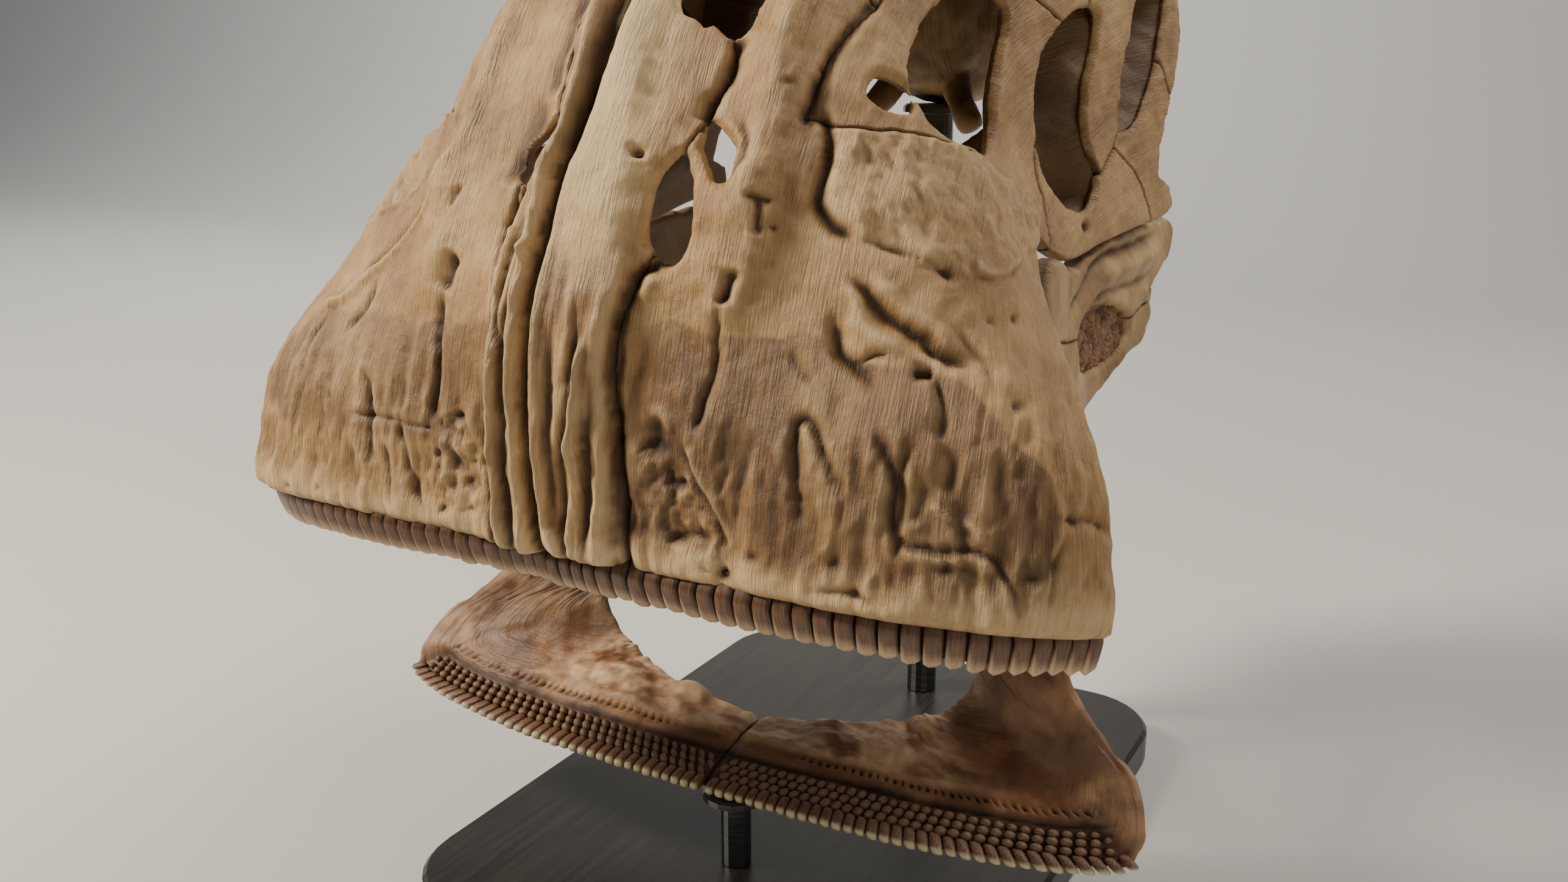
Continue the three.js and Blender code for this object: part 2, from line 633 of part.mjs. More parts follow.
// Braincase: a swelling box under the roof with the neck joint's ball, two props to the
// palate, two side wings and the opening of the spinal cord
const brainRod = [
  [0, 202, 140, 8, 12], [0, 214, 143, 17, 24], [0, 236, 146, 26, 34], [0, 258, 146, 31, 35],
  [0, 276, 143, 32, 33], [0, 286, 142, 28, 28],
];
const neckBall = { y: 287, z: 134, radius: 11 };
const cordHole = { z: 157, radius: 9, from: 268 };
const sideWing = [
  [20, 270, 152, 5, 16], [38, 277, 149, 5, 15], [54, 281, 144, 4.5, 13], [65, 282, 139, 4, 9],
];
const palateProp = [[10, 232, 124, 6, 6], [17, 222, 112, 5, 5], [25, 212, 104, 4, 4]];

function braincase() {
  const ball = new THREE.SphereGeometry(neckBall.radius, 10, 6);
  ball.rotateX(Math.PI / 2).translate(0, neckBall.y, neckBall.z);
  const hole = new THREE.CylinderGeometry(cordHole.radius, cordHole.radius, 40, 10);
  hole.translate(0, cordHole.from + 20, cordHole.z);
  let solid = toSolid(boneRod(brainRod, 7, 12)).add(toSolid(ball));
  [sideWing, palateProp].forEach((knots) => {
    const rod = boneRod(knots, 3, 6);
    solid = solid.add(toSolid(rod)).add(toSolid(mirrored(rod)));
  });
  return toGeometry(solid.subtract(toSolid(hole)));
}

addMesh(skull, 'braincase', braincase(), boneLook);

// Stand: a flat base, a post up to the braincase and a short rod up to the chin
function roundedPlate({ width, depth, height, corner, centreY }, bevel) {
  const [x, y] = [width / 2 - bevel, depth / 2 - bevel];
  const shape = new THREE.Shape();
  shape.moveTo(-x + corner, -y).lineTo(x - corner, -y);
  shape.absarc(x - corner, -y + corner, corner, -Math.PI / 2, 0);
  shape.absarc(x - corner, y - corner, corner, 0, Math.PI / 2);
  shape.absarc(-x + corner, y - corner, corner, Math.PI / 2, Math.PI);
  shape.absarc(-x + corner, -y + corner, corner, Math.PI, 1.5 * Math.PI);
  const plate = new THREE.ExtrudeGeometry(shape, {
    depth: height - 2 * bevel, bevelThickness: bevel, bevelSize: bevel, bevelSegments: 1, curveSegments: 4,
  });
  return plate.translate(0, centreY, bevel - skullLift);
}

// Upright rod with a round pad on its top
function paddedRod(radius, { y, top }) {
  const foot = baseSize.height + 0.3 - skullLift;
  const padRadius = 2.2 * radius;
  const profile = [
    [0, foot], [radius, foot], [radius, top - padHeight], [padRadius, top - padHeight + 1],
    [padRadius, top - 1], [padRadius - 1, top], [0, top],
  ].map(([r, z]) => new THREE.Vector2(r, z));
  const rod = new THREE.LatheGeometry(profile, 16);
  return rod.rotateX(Math.PI / 2).translate(0, y, 0);
}

addMesh(stand, 'stand_base', roundedPlate(baseSize, 1.5), baseLook);
addMesh(stand, 'stand_post', paddedRod(postRadius, postPlace), rodLook);
addMesh(stand, 'stand_jaw_rod', paddedRod(jawRodRadius, jawRodPlace), rodLook);

export default new THREE.Group().add(skull, stand);
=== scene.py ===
# Skull of Nigersaurus with its jaws hanging open, on a plain display stand.
# Tables are in millimetres from the middle of the upper tooth row: x to the animal's left,
# y to the back, z up. Blender's objects are in metres, with the underside of the base at 0.
# Paths on the skull's wall are (u, w): u is the share of the way from the midline to the lower
# rim, below 0 on the right side, and w is the station from the teeth to the back of the head.
import bpy
import numpy as np
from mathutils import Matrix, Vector


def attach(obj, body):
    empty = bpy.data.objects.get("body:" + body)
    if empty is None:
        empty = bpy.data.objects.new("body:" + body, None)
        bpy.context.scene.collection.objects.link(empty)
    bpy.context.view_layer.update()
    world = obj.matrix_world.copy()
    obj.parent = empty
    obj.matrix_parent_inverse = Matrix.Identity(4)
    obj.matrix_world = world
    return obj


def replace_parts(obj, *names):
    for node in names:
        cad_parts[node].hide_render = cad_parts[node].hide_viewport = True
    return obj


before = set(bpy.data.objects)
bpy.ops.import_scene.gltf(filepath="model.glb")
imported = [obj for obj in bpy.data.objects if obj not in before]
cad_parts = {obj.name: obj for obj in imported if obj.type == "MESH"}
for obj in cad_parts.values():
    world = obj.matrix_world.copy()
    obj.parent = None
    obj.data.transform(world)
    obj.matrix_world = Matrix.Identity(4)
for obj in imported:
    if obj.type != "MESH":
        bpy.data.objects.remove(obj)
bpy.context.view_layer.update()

mm = 0.001
skullOrigin = np.array([0.0, -147.3, 145.0])  # middle of the upper tooth row, in mm

# Camera: the photograph's angle, distance and lens
cameraView = {
    "azimuth": 29.332,  # degrees towards the animal's left
    "elevation": 15.391,  # degrees above level
    "place": (211.6, -256.2, 125.5),
    "lens": 31.444,
    "sensor": 36.0,
}


def makeCamera():
    around, above = np.radians([cameraView["azimuth"], cameraView["elevation"]])
    data = bpy.data.cameras.new("camera")
    data.lens, data.sensor_width = cameraView["lens"], cameraView["sensor"]
    data.clip_start, data.clip_end = 0.01, 20
    camera = bpy.data.objects.new("camera", data)
    bpy.context.collection.objects.link(camera)
    camera.location = (skullOrigin + np.array(cameraView["place"])) * mm
    ahead = Vector((-np.sin(around) * np.cos(above), np.cos(around) * np.cos(above), -np.sin(above)))
    camera.rotation_mode = "QUATERNION"
    camera.rotation_quaternion = ahead.to_track_quat("-Z", "Y")
    bpy.context.scene.camera = camera


makeCamera()
print("camera placed")


# Smooth curve through evenly spaced rows at places x: a cubic between two rows, whose slope
# at each row is half the difference of the rows beside it
def throughRows(rows, x):
    rows = np.asarray(rows, float)
    if rows.ndim == 1:
        rows = rows[:, None]
    x = np.asarray(x, float)
    last = len(rows) - 1
    i = np.clip(np.floor(x).astype(int), 0, last - 1)
    s = (x - i)[..., None]
    slope = np.concatenate([rows[1:2] - rows[:1], (rows[2:] - rows[:-2]) / 2, rows[-1:] - rows[-2:-1]])
    near = (2 * s**3 - 3 * s**2 + 1) * rows[i] + (s**3 - 2 * s**2 + s) * slope[i]
    far = (3 * s**2 - 2 * s**3) * rows[i + 1] + (s**3 - s**2) * slope[i + 1]
    return near + far


# A path of few points made smooth; a closed one is wrapped round before it is cut back
def smoothPath(path, steps=5, closed=False):
    path = np.asarray(path, float)
    if closed:
        path = np.concatenate([path[-2:], path, path[:3]])
        return throughRows(path, np.arange(2 * steps, (len(path) - 3) * steps + 1) / steps)
    return throughRows(path, np.linspace(0, len(path) - 1, (len(path) - 1) * steps + 1))


# Smooth random value from -1 to 1 at each point: the values of the eight corners of a
# lattice cell, blended by the cubic step 3f^2 - 2f^3 along each axis
def latticeNoise(points, size, seed):
    values = np.random.default_rng(seed).uniform(-1, 1, 4096)
    p = np.asarray(points, float) / np.asarray(size, float) + 61.7
    cell = np.floor(p).astype(np.int64)
    f = p - cell
    f = f * f * (3 - 2 * f)
    total = np.zeros(p.shape[:-1])
    for corner in range(8):
        step = np.array([corner & 1, corner >> 1 & 1, corner >> 2 & 1])
        key = ((cell + step) * np.array([73, 1987, 29501])).sum(-1)
        key = (key ^ (key >> 5) * 31) & 4095
        total += np.where(step, f, 1 - f).prod(-1) * values[key]
    return total


# Sum of lattice noises, each half the size and half the height of the one before
def roughNoise(points, size, seed, octaves=3):
    size = np.asarray(size, float)
    return sum(latticeNoise(points, size / 2**n, seed + n) / 2**n for n in range(octaves))


# Cubic step 3x^2 - 2x^3 from 0 to 1, level before and after
def softStep(x):
    x = np.clip(x, 0, 1)
    return x * x * (3 - 2 * x)


# Bell curve exp(-(x / width)^2)
def gauss(x, width):
    return np.exp(-((x / width) ** 2))


# Fall of a rounded edge: the drop of a quarter circle of that radius, at a distance from the edge
def roundOff(distance, radius):
    left = 1 - np.clip(distance / radius, 0, 1)
    return radius * (1 - np.sqrt(np.maximum(1 - left * left, 0)))


farAway = 1e3  # distance in mm where there is no edge or opening near
holeReach = 14  # mm round an opening that are searched for its edge


# Surfaces. Each is a grid over two parameters u and w with its points, normals, lengths in
# mm along both, and fields that the marks change.
def makeSurface(u, w, points):
    alongU = np.gradient(points, u, axis=1)
    alongW = np.gradient(points, w, axis=0)
    normals = np.cross(alongU, alongW)
    normals /= np.linalg.norm(normals, axis=-1, keepdims=True)
    a = np.linalg.norm(alongU, axis=-1)
    c = (alongU * alongW).sum(-1) / a
    h = np.sqrt(np.maximum((alongW**2).sum(-1) - c**2, 1e-6))
    across = np.cumsum(a, 1) * (u[1] - u[0])
    across -= across[:, [np.argmin(abs(u))]]
    along = np.cumsum(h, 0) * (w[1] - w[0])
    zero = np.zeros(a.shape)
    return {
        "u": u, "w": w, "points": points, "normals": normals, "measure": (a, c, h),
        "across": across, "along": along, "relief": zero.copy(), "dark": zero.copy(),
        "brown": zero.copy(), "cream": zero.copy(), "spongy": zero.copy(), "wall": zero.copy(),
        "warp": (zero.copy(), zero.copy()), "hole": zero + farAway, "holeU": zero.copy(),
        "holeW": zero.copy(), "lip": zero + farAway,
    }


# The part of a surface's grid that lies within some mm of a path
def windowOf(surface, path, reach):
    a, _, h = surface["measure"]
    low = path.min(0) - (reach / np.median(a), reach / np.median(h))
    high = path.max(0) + (reach / np.median(a), reach / np.median(h))
    i = np.clip(np.searchsorted(surface["w"], (low[1], high[1])), 0, len(surface["w"]))
    j = np.clip(np.searchsorted(surface["u"], (low[0], high[0])), 0, len(surface["u"]))
    return slice(max(i[0] - 1, 0), i[1] + 1), slice(max(j[0] - 1, 0), j[1] + 1)


# Distance in mm from each place of a window to a path, the nearest (u, w) of the path, how
# far along it that is (0 to 1) and whether the place is inside it. Steps in u and w become
# mm by the surface's measure, and every straight piece of the path is tried.
def nearestOnPath(surface, win, path, closed=False):
    a, c, h = (m[win] for m in surface["measure"])
    u = surface["u"][win[1]][None, :] + surface["warp"][0][win]
    w = surface["w"][win[0]][:, None] + surface["warp"][1][win]
    best = np.full(a.shape, 1e12)
    nearU, nearW, along = np.zeros(a.shape), np.zeros(a.shape), np.zeros(a.shape)
    inside = np.zeros(a.shape, bool)
    ends = np.roll(path, -1, 0) if closed else path[1:]
    for k, ((u0, w0), (u1, w1)) in enumerate(zip(path, ends)):
        x0, y0 = a * (u0 - u) + c * (w0 - w), h * (w0 - w)
        ex, ey = a * (u1 - u0) + c * (w1 - w0), h * (w1 - w0)
        s = np.clip(-(x0 * ex + y0 * ey) / np.maximum(ex * ex + ey * ey, 1e-12), 0, 1)
        d = (x0 + s * ex) ** 2 + (y0 + s * ey) ** 2
        nearer = d < best
        best = np.where(nearer, d, best)
        nearU = np.where(nearer, u0 + s * (u1 - u0), nearU)
        nearW = np.where(nearer, w0 + s * (w1 - w0), nearW)
        along = np.where(nearer, (k + s) / len(ends), along)
        if closed and w0 != w1:
            inside ^= ((w0 > w) != (w1 > w)) & (u < (u1 - u0) * (w - w0) / (w1 - w0) + u0)
    nearU -= surface["warp"][0][win]
    nearW -= surface["warp"][1][win]
    return np.sqrt(best), nearU, nearW, along, inside


# Groove or ridge along a path: height * exp(-(distance / width)^power), where a groove's power
# of 1.5 makes it sharp at the bottom and a ridge's is 2. It thins out at its ends where taper
# says so, and its strength wavers by noise.
def carve(surface, path, width, height, taper=0.0):
    path = smoothPath(path)
    win = windowOf(surface, path, 3.5 * width)
    d, _, _, along, _ = nearestOnPath(surface, win, path)
    share = 1 + 0.3 * latticeNoise(surface["points"][win], 7, 17)
    if taper:
        share *= softStep(np.minimum(along, 1 - along) / taper + 0.15)
    surface["relief"][win] += height * share * np.exp(-((d / width) ** (1.5 if height < 0 else 2)))
    if height < 0:
        dark = share * min(1, -height / 2.2) * np.exp(-((d / (0.62 * width)) ** 2))
        surface["dark"][win] = np.maximum(surface["dark"][win], np.clip(dark, 0, 1))


# Grooves and ridges given as (path, width, height, taper)
def carveAll(surface, marks):
    for path, width, height, taper in marks:
        carve(surface, path, width, height, taper)


# Share of a patch, 0 outside to 1 inside its closed outline, over a soft edge of some mm
def patch(surface, outline, soft, wrinkle=0.0, seed=0):
    path = smoothPath(outline, 4, True)[:-1]
    win = windowOf(surface, path, 2 * soft + 2 * wrinkle + 2)
    d, _, _, _, inside = nearestOnPath(surface, win, path, True)
    d = np.where(inside, d, -d)
    if wrinkle:
        d = d + wrinkle * roughNoise(surface["points"][win], 7, seed)
    full = np.zeros(surface["relief"].shape)
    full[win] = softStep(d / soft + 0.5)
    return full


# Mean of a field over a square of cells, by running sums along rows and columns
def soften(field, cells):
    for axis in (0, 1):
        pad = [(0, 0), (0, 0)]
        pad[axis] = (cells + 1, cells)
        total = np.cumsum(np.pad(field, pad, mode="edge"), axis)
        size = field.shape[axis]
        ahead = np.take(total, np.arange(2 * cells + 1, 2 * cells + 1 + size), axis)
        behind = np.take(total, np.arange(0, size), axis)
        field = (ahead - behind) / (2 * cells + 1)
    return field


# Puts an opening into a surface: keeps the distance and nearest place of the nearest opening
def openHole(surface, outline):
    path = smoothPath(outline, 5, True)[:-1]
    win = windowOf(surface, path, holeReach)
    d, nearU, nearW, _, inside = nearestOnPath(surface, win, path, True)
    d = np.where(inside, -d, d)
    nearer = d < surface["hole"][win]
    surface["hole"][win] = np.where(nearer, d, surface["hole"][win])
    surface["holeU"][win] = np.where(nearer, nearU, surface["holeU"][win])
    surface["holeW"][win] = np.where(nearer, nearW, surface["holeW"][win])


# Values of grid fields at any places: the four corners of the cell, weighted by how near
def sampleGrid(surface, field, u, w):
    x = (u - surface["u"][0]) / (surface["u"][1] - surface["u"][0])
    y = (w - surface["w"][0]) / (surface["w"][1] - surface["w"][0])
    j = np.clip(np.floor(x).astype(int), 0, field.shape[1] - 2)
    i = np.clip(np.floor(y).astype(int), 0, field.shape[0] - 2)
    fx, fy = (x - j)[:, None], (y - i)[:, None]
    low = field[i, j] * (1 - fx) + field[i, j + 1] * fx
    high = field[i + 1, j] * (1 - fx) + field[i + 1, j + 1] * fx
    return low * (1 - fy) + high * fy


toneNames = ("dark", "brown", "cream", "spongy")


# Writes one value per point into a mesh, for the materials to read
def setField(mesh, name, kind, values):
    if name in mesh.attributes:
        mesh.attributes.remove(mesh.attributes[name])
    layer = mesh.attributes.new(name, kind, "POINT")
    word = "color" if kind == "FLOAT_COLOR" else "vector"
    layer.data.foreach_set(word, np.asarray(values).astype(np.float32).ravel())


# Mesh object from points in mm of the skull's own frame and faces of three or four corners,
# which are turned round if they look inwards
def meshPiece(name, points, faces, material, tone=None, grain=None):
    mesh = bpy.data.meshes.new(name)
    if signedVolume(points - points.mean(0), faces) < 0:
        faces = [f[:, ::-1] for f in faces]
    points = (np.asarray(points) + skullOrigin) * mm
    mesh.vertices.add(len(points))
    mesh.vertices.foreach_set("co", points.astype(np.float32).ravel())
    sizes = np.concatenate([np.full(len(f), f.shape[1]) for f in faces])
    mesh.loops.add(int(sizes.sum()))
    mesh.loops.foreach_set("vertex_index", np.concatenate([f.ravel() for f in faces]).astype(np.int32))
    mesh.polygons.add(len(sizes))
    mesh.polygons.foreach_set("loop_start", (np.cumsum(sizes) - sizes).astype(np.int32))
    mesh.polygons.foreach_set("loop_total", sizes.astype(np.int32))
    mesh.update(calc_edges=True)
    mesh.validate()
    mesh.polygons.foreach_set("use_smooth", np.ones(len(mesh.polygons), bool))
    if tone is None:
        tone = np.zeros((len(points), 4))
    if grain is None:
        grain = (points - points.mean(0)) * np.array([1, 1, 0])
    setField(mesh, "tone", "FLOAT_COLOR", np.clip(tone, 0, 1))
    setField(mesh, "grain", "FLOAT_VECTOR", grain)
    mesh.materials.append(material)
    piece = bpy.data.objects.new(name, mesh)
    bpy.context.collection.objects.link(piece)
    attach(piece, "root")
    return piece


shellRules = {
    "reach": 4,  # mm round the outline that are worked out
    "snap": 2.0,  # mm that a corner may be moved onto the cut
    "thinnest": 2.2,  # mm of bone left under a groove
    "lipShare": 0.46,  # radius of an opening's lip, as a share of the wall
    # insideDark is painted shade: the fixed dark tone of every shell's inner skin
    "sutureWidth": 0.9, "sutureDark": 0.75, "insideDark": 0.55,
}


# Closed shell of a surface within an outline and outside its openings. Cells whose middle is
# outside are left out, and the corners along the cut are moved onto the nearest place of the
# outline. The outer skin is point + normal * (relief - rounding), the inner skin is
# point - normal * (wall - rounding), and a strip along the cut joins the two.
def shellPiece(name, surface, outline, material, seam=0.8, lipRadius=3.0, mirrored=False):
    rules = shellRules
    path = np.asarray(outline, float)
    win = windowOf(surface, path, rules["reach"])
    d, nearU, nearW, _, inside = nearestOnPath(surface, win, path, True)
    d = np.where(inside, d, -d)
    hole = surface["hole"][win]
    edge = np.minimum(d, hole)
    keep = (edge[:-1, :-1] + edge[1:, :-1] + edge[:-1, 1:] + edge[1:, 1:]) > 0
    count = np.pad(keep, 1).astype(int)
    count = count[:-1, :-1] + count[1:, :-1] + count[:-1, 1:] + count[1:, 1:]
    used = count > 0
    byHole = hole < d
    u = np.repeat(surface["u"][win[1]][None, :], edge.shape[0], 0)
    w = np.repeat(surface["w"][win[0]][:, None], edge.shape[1], 1)
    snap = used & (count < 4) & (abs(edge) < rules["snap"])
    u = np.where(snap, np.where(byHole, surface["holeU"][win], nearU), u)
    w = np.where(snap, np.where(byHole, surface["holeW"][win], nearW), w)
    u = np.clip(u, surface["u"][0], surface["u"][-1])[used]
    w = np.clip(w, surface["w"][0], surface["w"][-1])[used]
    names = ("relief", "wall", "lip", "across", "along") + toneNames
    stack = np.concatenate([surface["points"], surface["normals"]]
                           + [surface[n][..., None] for n in names], -1)
    got = sampleGrid(surface, stack, u, w)
    points, normals = got[:, :3], got[:, 3:6]
    relief, wallDepth, lip = got[:, 6], got[:, 7], got[:, 8]
    lip = np.minimum(lip, np.where(snap & byHole, 0, np.maximum(hole, 0))[used])
    suture = np.where(snap & ~byHole, 0, np.maximum(d, 0))[used]
    wallDepth = np.maximum(wallDepth, rules["thinnest"] - relief)
    radius = np.minimum(lipRadius, rules["lipShare"] * wallDepth)
    relief = relief * np.where(relief < 0, softStep(lip / 3 + 0.2), 1) if lipRadius > 2 else relief
    fall = roundOff(lip, radius) + roundOff(suture, seam)
    outer = points + normals * (relief - fall)[:, None]
    inner = points - normals * (wallDepth - roundOff(lip, radius) - roundOff(suture, 0.5 * seam))[:, None]
    index = np.full(edge.shape, -1)
    index[used] = np.arange(used.sum())
    below = len(outer)
    corners = [index[:-1, :-1], index[:-1, 1:], index[1:, 1:], index[1:, :-1]]
    quads = np.stack([c[keep] for c in corners], -1)
    ring = np.pad(keep, 1)
    beside = [ring[:-2, 1:-1], ring[1:-1, 2:], ring[2:, 1:-1], ring[1:-1, :-2]]
    strips = []
    for k in range(4):
        cut = keep & ~beside[k]
        a, b = corners[k][cut], corners[(k + 1) % 4][cut]
        strips.append(np.stack([b, a, a + below, b + below], -1))
    faces = [np.concatenate([quads, quads[:, ::-1] + below] + strips)]
    tone = got[:, 11:15].copy()
    atSuture = 1 - softStep(suture / rules["sutureWidth"])
    tone[:, 0] = np.maximum(tone[:, 0], rules["sutureDark"] * atSuture)
    # The inner skin takes a fixed dark tone, painted shade inside the bone
    innerTone = tone.copy()
    innerTone[:, 0] = rules["insideDark"]
    grain = np.stack([got[:, 9], got[:, 10], np.zeros(below)], -1) * mm
    verts = np.concatenate([outer, inner])
    if mirrored:
        verts = verts * np.array([-1, 1, 1])
        faces = [f[:, ::-1] for f in faces]
    return meshPiece(name, verts, faces, material, np.concatenate([tone, innerTone]),
                     np.concatenate([grain, grain]))


# Closed tube over a grid of rings: quads between the rings and a fan to a pole at each end
def tubeFaces(rings, sides):
    i = np.arange(rings * sides).reshape(rings, sides)
    nextSide = np.roll(i, -1, 1)
    quads = np.stack([i[:-1], nextSide[:-1], nextSide[1:], i[1:]], -1).reshape(-1, 4)
    first, last = rings * sides, rings * sides + 1
    start = np.stack([np.full(sides, first), nextSide[0], i[0]], -1)
    end = np.stack([np.full(sides, last), i[-1], nextSide[-1]], -1)
    return [quads, np.concatenate([start, end])]


# Volume inside closed pieces; it is below 0 when their faces look inwards
def signedVolume(points, faces):
    total = 0
    for f in faces:
        for k in range(1, f.shape[1] - 1):
            a, b, c = points[f[:, 0]], points[f[:, k]], points[f[:, k + 1]]
            total += (np.cross(a, b) * c).sum()
    return total


# Grid of rings as one list, followed by the mean of its first and of its last ring
def withPoles(grid):
    flat = grid.reshape(-1, grid.shape[-1])
    return np.concatenate([flat, grid[:1].mean(1), grid[-1:].mean(1)])


# Unit normals of a grid of rings, from the cross product of its two directions
def ringNormals(grid):
    alongRing = np.roll(grid, -1, 1) - np.roll(grid, 1, 1)
    normals = np.cross(alongRing, np.gradient(grid, axis=0))
    length = np.linalg.norm(normals, axis=-1, keepdims=True)
    return normals / np.maximum(length, 1e-9)


# Rod of bone through knots [x, y, z, half width, half height]: rings square to the path, at
# centre + level * half width * cos^(2 / power) + upright * half height * sin^(2 / power), with
# the ends rounded off and noise along the normals
def rodParts(knots, rings, sides, power, rough=0.0, seed=3, mirrored=False,
             tones=(0.0, 0.2, 0.3, 0.0)):
    path = throughRows(knots, np.linspace(0, len(knots) - 1, rings))
    centre, size = path[:, :3], path[:, 3:5]
    along = np.gradient(centre, axis=0)
    along /= np.linalg.norm(along, axis=1, keepdims=True)
    level = np.cross(along, np.array([0, 0, 1.0]))
    level /= np.linalg.norm(level, axis=1, keepdims=True)
    upright = np.cross(level, along)
    steps = np.linalg.norm(np.diff(centre, axis=0), axis=1)
    place = np.concatenate([[0], np.cumsum(steps)])
    toEnd = np.minimum(place, place[-1] - place)
    blunt = np.sqrt(1 - (1 - np.clip(toEnd / (0.8 * size.min(1)), 0.02, 1)) ** 2)
    angle = 2 * np.pi * np.arange(sides) / sides
    cos, sin = np.cos(angle), np.sin(angle)
    x = np.sign(cos) * abs(cos) ** (2 / power)
    y = np.sign(sin) * abs(sin) ** (2 / power)
    grid = centre[:, None] + blunt[:, None, None] * (
        level[:, None] * size[:, None, :1] * x[None, :, None]
        + upright[:, None] * size[:, None, 1:] * y[None, :, None])
    normals = ringNormals(grid)
    if (normals * (grid - centre[:, None])).sum() < 0:
        normals = -normals
    bumps = rough * (roughNoise(grid, 9, seed) + 0.5 * roughNoise(grid, 3, seed + 5))
    grid = grid + normals * (bumps * blunt[:, None])[..., None]
    tone = np.zeros(grid.shape[:2] + (4,)) + np.array(tones)
    # Darker in the low places of the bumps: painted shade
    tone[..., 0] += np.clip(-1.2 * bumps, 0, 0.6)
    grain = np.stack([grid[..., 0] + grid[..., 2], np.repeat(place[:, None], sides, 1),
                      np.zeros(grid.shape[:2])], -1) * mm
    verts = withPoles(grid)
    faces = tubeFaces(rings, sides)
    if mirrored:
        verts = verts * np.array([-1, 1, 1])
        faces = [f[:, ::-1] for f in faces]
    return verts, faces, withPoles(tone), withPoles(grain)


# Several closed pieces as one list of points and faces
def joinParts(parts):
    points, faces, tones, grains, start = [], [], [], [], 0
    for verts, ownFaces, tone, grain in parts:
        points.append(verts)
        faces += [f + start for f in ownFaces]
        tones.append(tone)
        grains.append(grain)
        start += len(verts)
    return np.concatenate(points), faces, np.concatenate(tones), np.concatenate(grains)


# Material with its nodes, its links and its shader
def newMaterial(name):
    material = bpy.data.materials.new(name)
    material.use_nodes = True
    nodes = material.node_tree.nodes
    shader = nodes["Principled BSDF"]
    return material, nodes, material.node_tree.links, shader


# Shader node group: bone grain. Long fibres are noise stretched along the grain attribute,
# pores are small cells, and blotches are broad noise on the object's own coordinates.
def makeGrainGroup():
    group = bpy.data.node_groups.new("boneGrain", "ShaderNodeTree")
    face = group.interface
    face.new_socket("Fibre Size", in_out="INPUT", socket_type="NodeSocketFloat")
    face.new_socket("Pore Size", in_out="INPUT", socket_type="NodeSocketFloat")
    face.new_socket("Fibres", in_out="OUTPUT", socket_type="NodeSocketFloat")
    face.new_socket("Pores", in_out="OUTPUT", socket_type="NodeSocketFloat")
    face.new_socket("Blotches", in_out="OUTPUT", socket_type="NodeSocketFloat")
    nodes, links = group.nodes, group.links
    inputs, outputs = nodes.new("NodeGroupInput"), nodes.new("NodeGroupOutput")
    grain = nodes.new("ShaderNodeAttribute")
    grain.attribute_name = "grain"
    place = nodes.new("ShaderNodeTexCoord")
    stretch = nodes.new("ShaderNodeVectorMath")
    stretch.operation = "MULTIPLY"
    stretch.inputs[1].default_value = (1, 0.07, 1)
    fibre = nodes.new("ShaderNodeTexNoise")
    fibre.inputs["Detail"].default_value = 4
    fibre.inputs["Roughness"].default_value = 0.6
    fibre.inputs["Distortion"].default_value = 0.3
    pores = nodes.new("ShaderNodeTexVoronoi")
    blotch = nodes.new("ShaderNodeTexNoise")
    blotch.inputs["Scale"].default_value = 28
    blotch.inputs["Detail"].default_value = 5
    blotch.inputs["Roughness"].default_value = 0.62
    links.new(grain.outputs["Vector"], stretch.inputs[0])
    links.new(stretch.outputs[0], fibre.inputs["Vector"])
    links.new(inputs.outputs["Fibre Size"], fibre.inputs["Scale"])
    links.new(place.outputs["Object"], pores.inputs["Vector"])
    links.new(inputs.outputs["Pore Size"], pores.inputs["Scale"])
    links.new(place.outputs["Object"], blotch.inputs["Vector"])
    links.new(fibre.outputs["Fac"], outputs.inputs["Fibres"])
    links.new(pores.outputs["Distance"], outputs.inputs["Pores"])
    links.new(blotch.outputs["Fac"], outputs.inputs["Blotches"])
    return group


grainGroup = makeGrainGroup()


# Colour ramp with the given stops (place, colour) on a value
def ramp(nodes, links, value, stops):
    node = nodes.new("ShaderNodeValToRGB")
    while len(node.color_ramp.elements) < len(stops):
        node.color_ramp.elements.new(0.5)
    for element, (place, colour) in zip(node.color_ramp.elements, stops):
        element.position = place
        element.color = (*colour, 1)
    links.new(value, node.inputs["Fac"])
    return node.outputs["Color"]


# Colour a * (1 - share) + b * share, or another blend; each value is a socket or a constant
def mixColour(nodes, links, share, a, b, how="MIX"):
    node = nodes.new("ShaderNodeMix")
    node.data_type, node.blend_type = "RGBA", how
    for value, socket in ((share, node.inputs["Factor"]), (a, node.inputs[6]), (b, node.inputs[7])):
        if isinstance(value, bpy.types.NodeSocket):
            links.new(value, socket)
        else:
            socket.default_value = value if isinstance(value, float) else (*value, 1)
    return node.outputs[2]


# Sum or product of two values, each a socket or a constant
def combine(nodes, links, how, a, b):
    node = nodes.new("ShaderNodeMath")
    node.operation = how
    for value, socket in ((a, node.inputs[0]), (b, node.inputs[1])):
        if isinstance(value, bpy.types.NodeSocket):
            links.new(value, socket)
        else:
            socket.default_value = value
    return node.outputs[0]


# value * factor + plus
def scaled(nodes, links, value, factor, plus):
    return combine(nodes, links, "ADD", combine(nodes, links, "MULTIPLY", value, factor), plus)


# Bone grain and the tone attribute, which every bone and tooth reads
def grainAndTone(nodes, links, fibreSize, poreSize):
    grain = nodes.new("ShaderNodeGroup")
    grain.node_tree = grainGroup
    grain.inputs["Fibre Size"].default_value = fibreSize
    grain.inputs["Pore Size"].default_value = poreSize
    tone = nodes.new("ShaderNodeAttribute")
    tone.attribute_name = "tone"
    parts = nodes.new("ShaderNodeSeparateColor")
    links.new(tone.outputs["Color"], parts.inputs[0])
    return grain, tone, parts


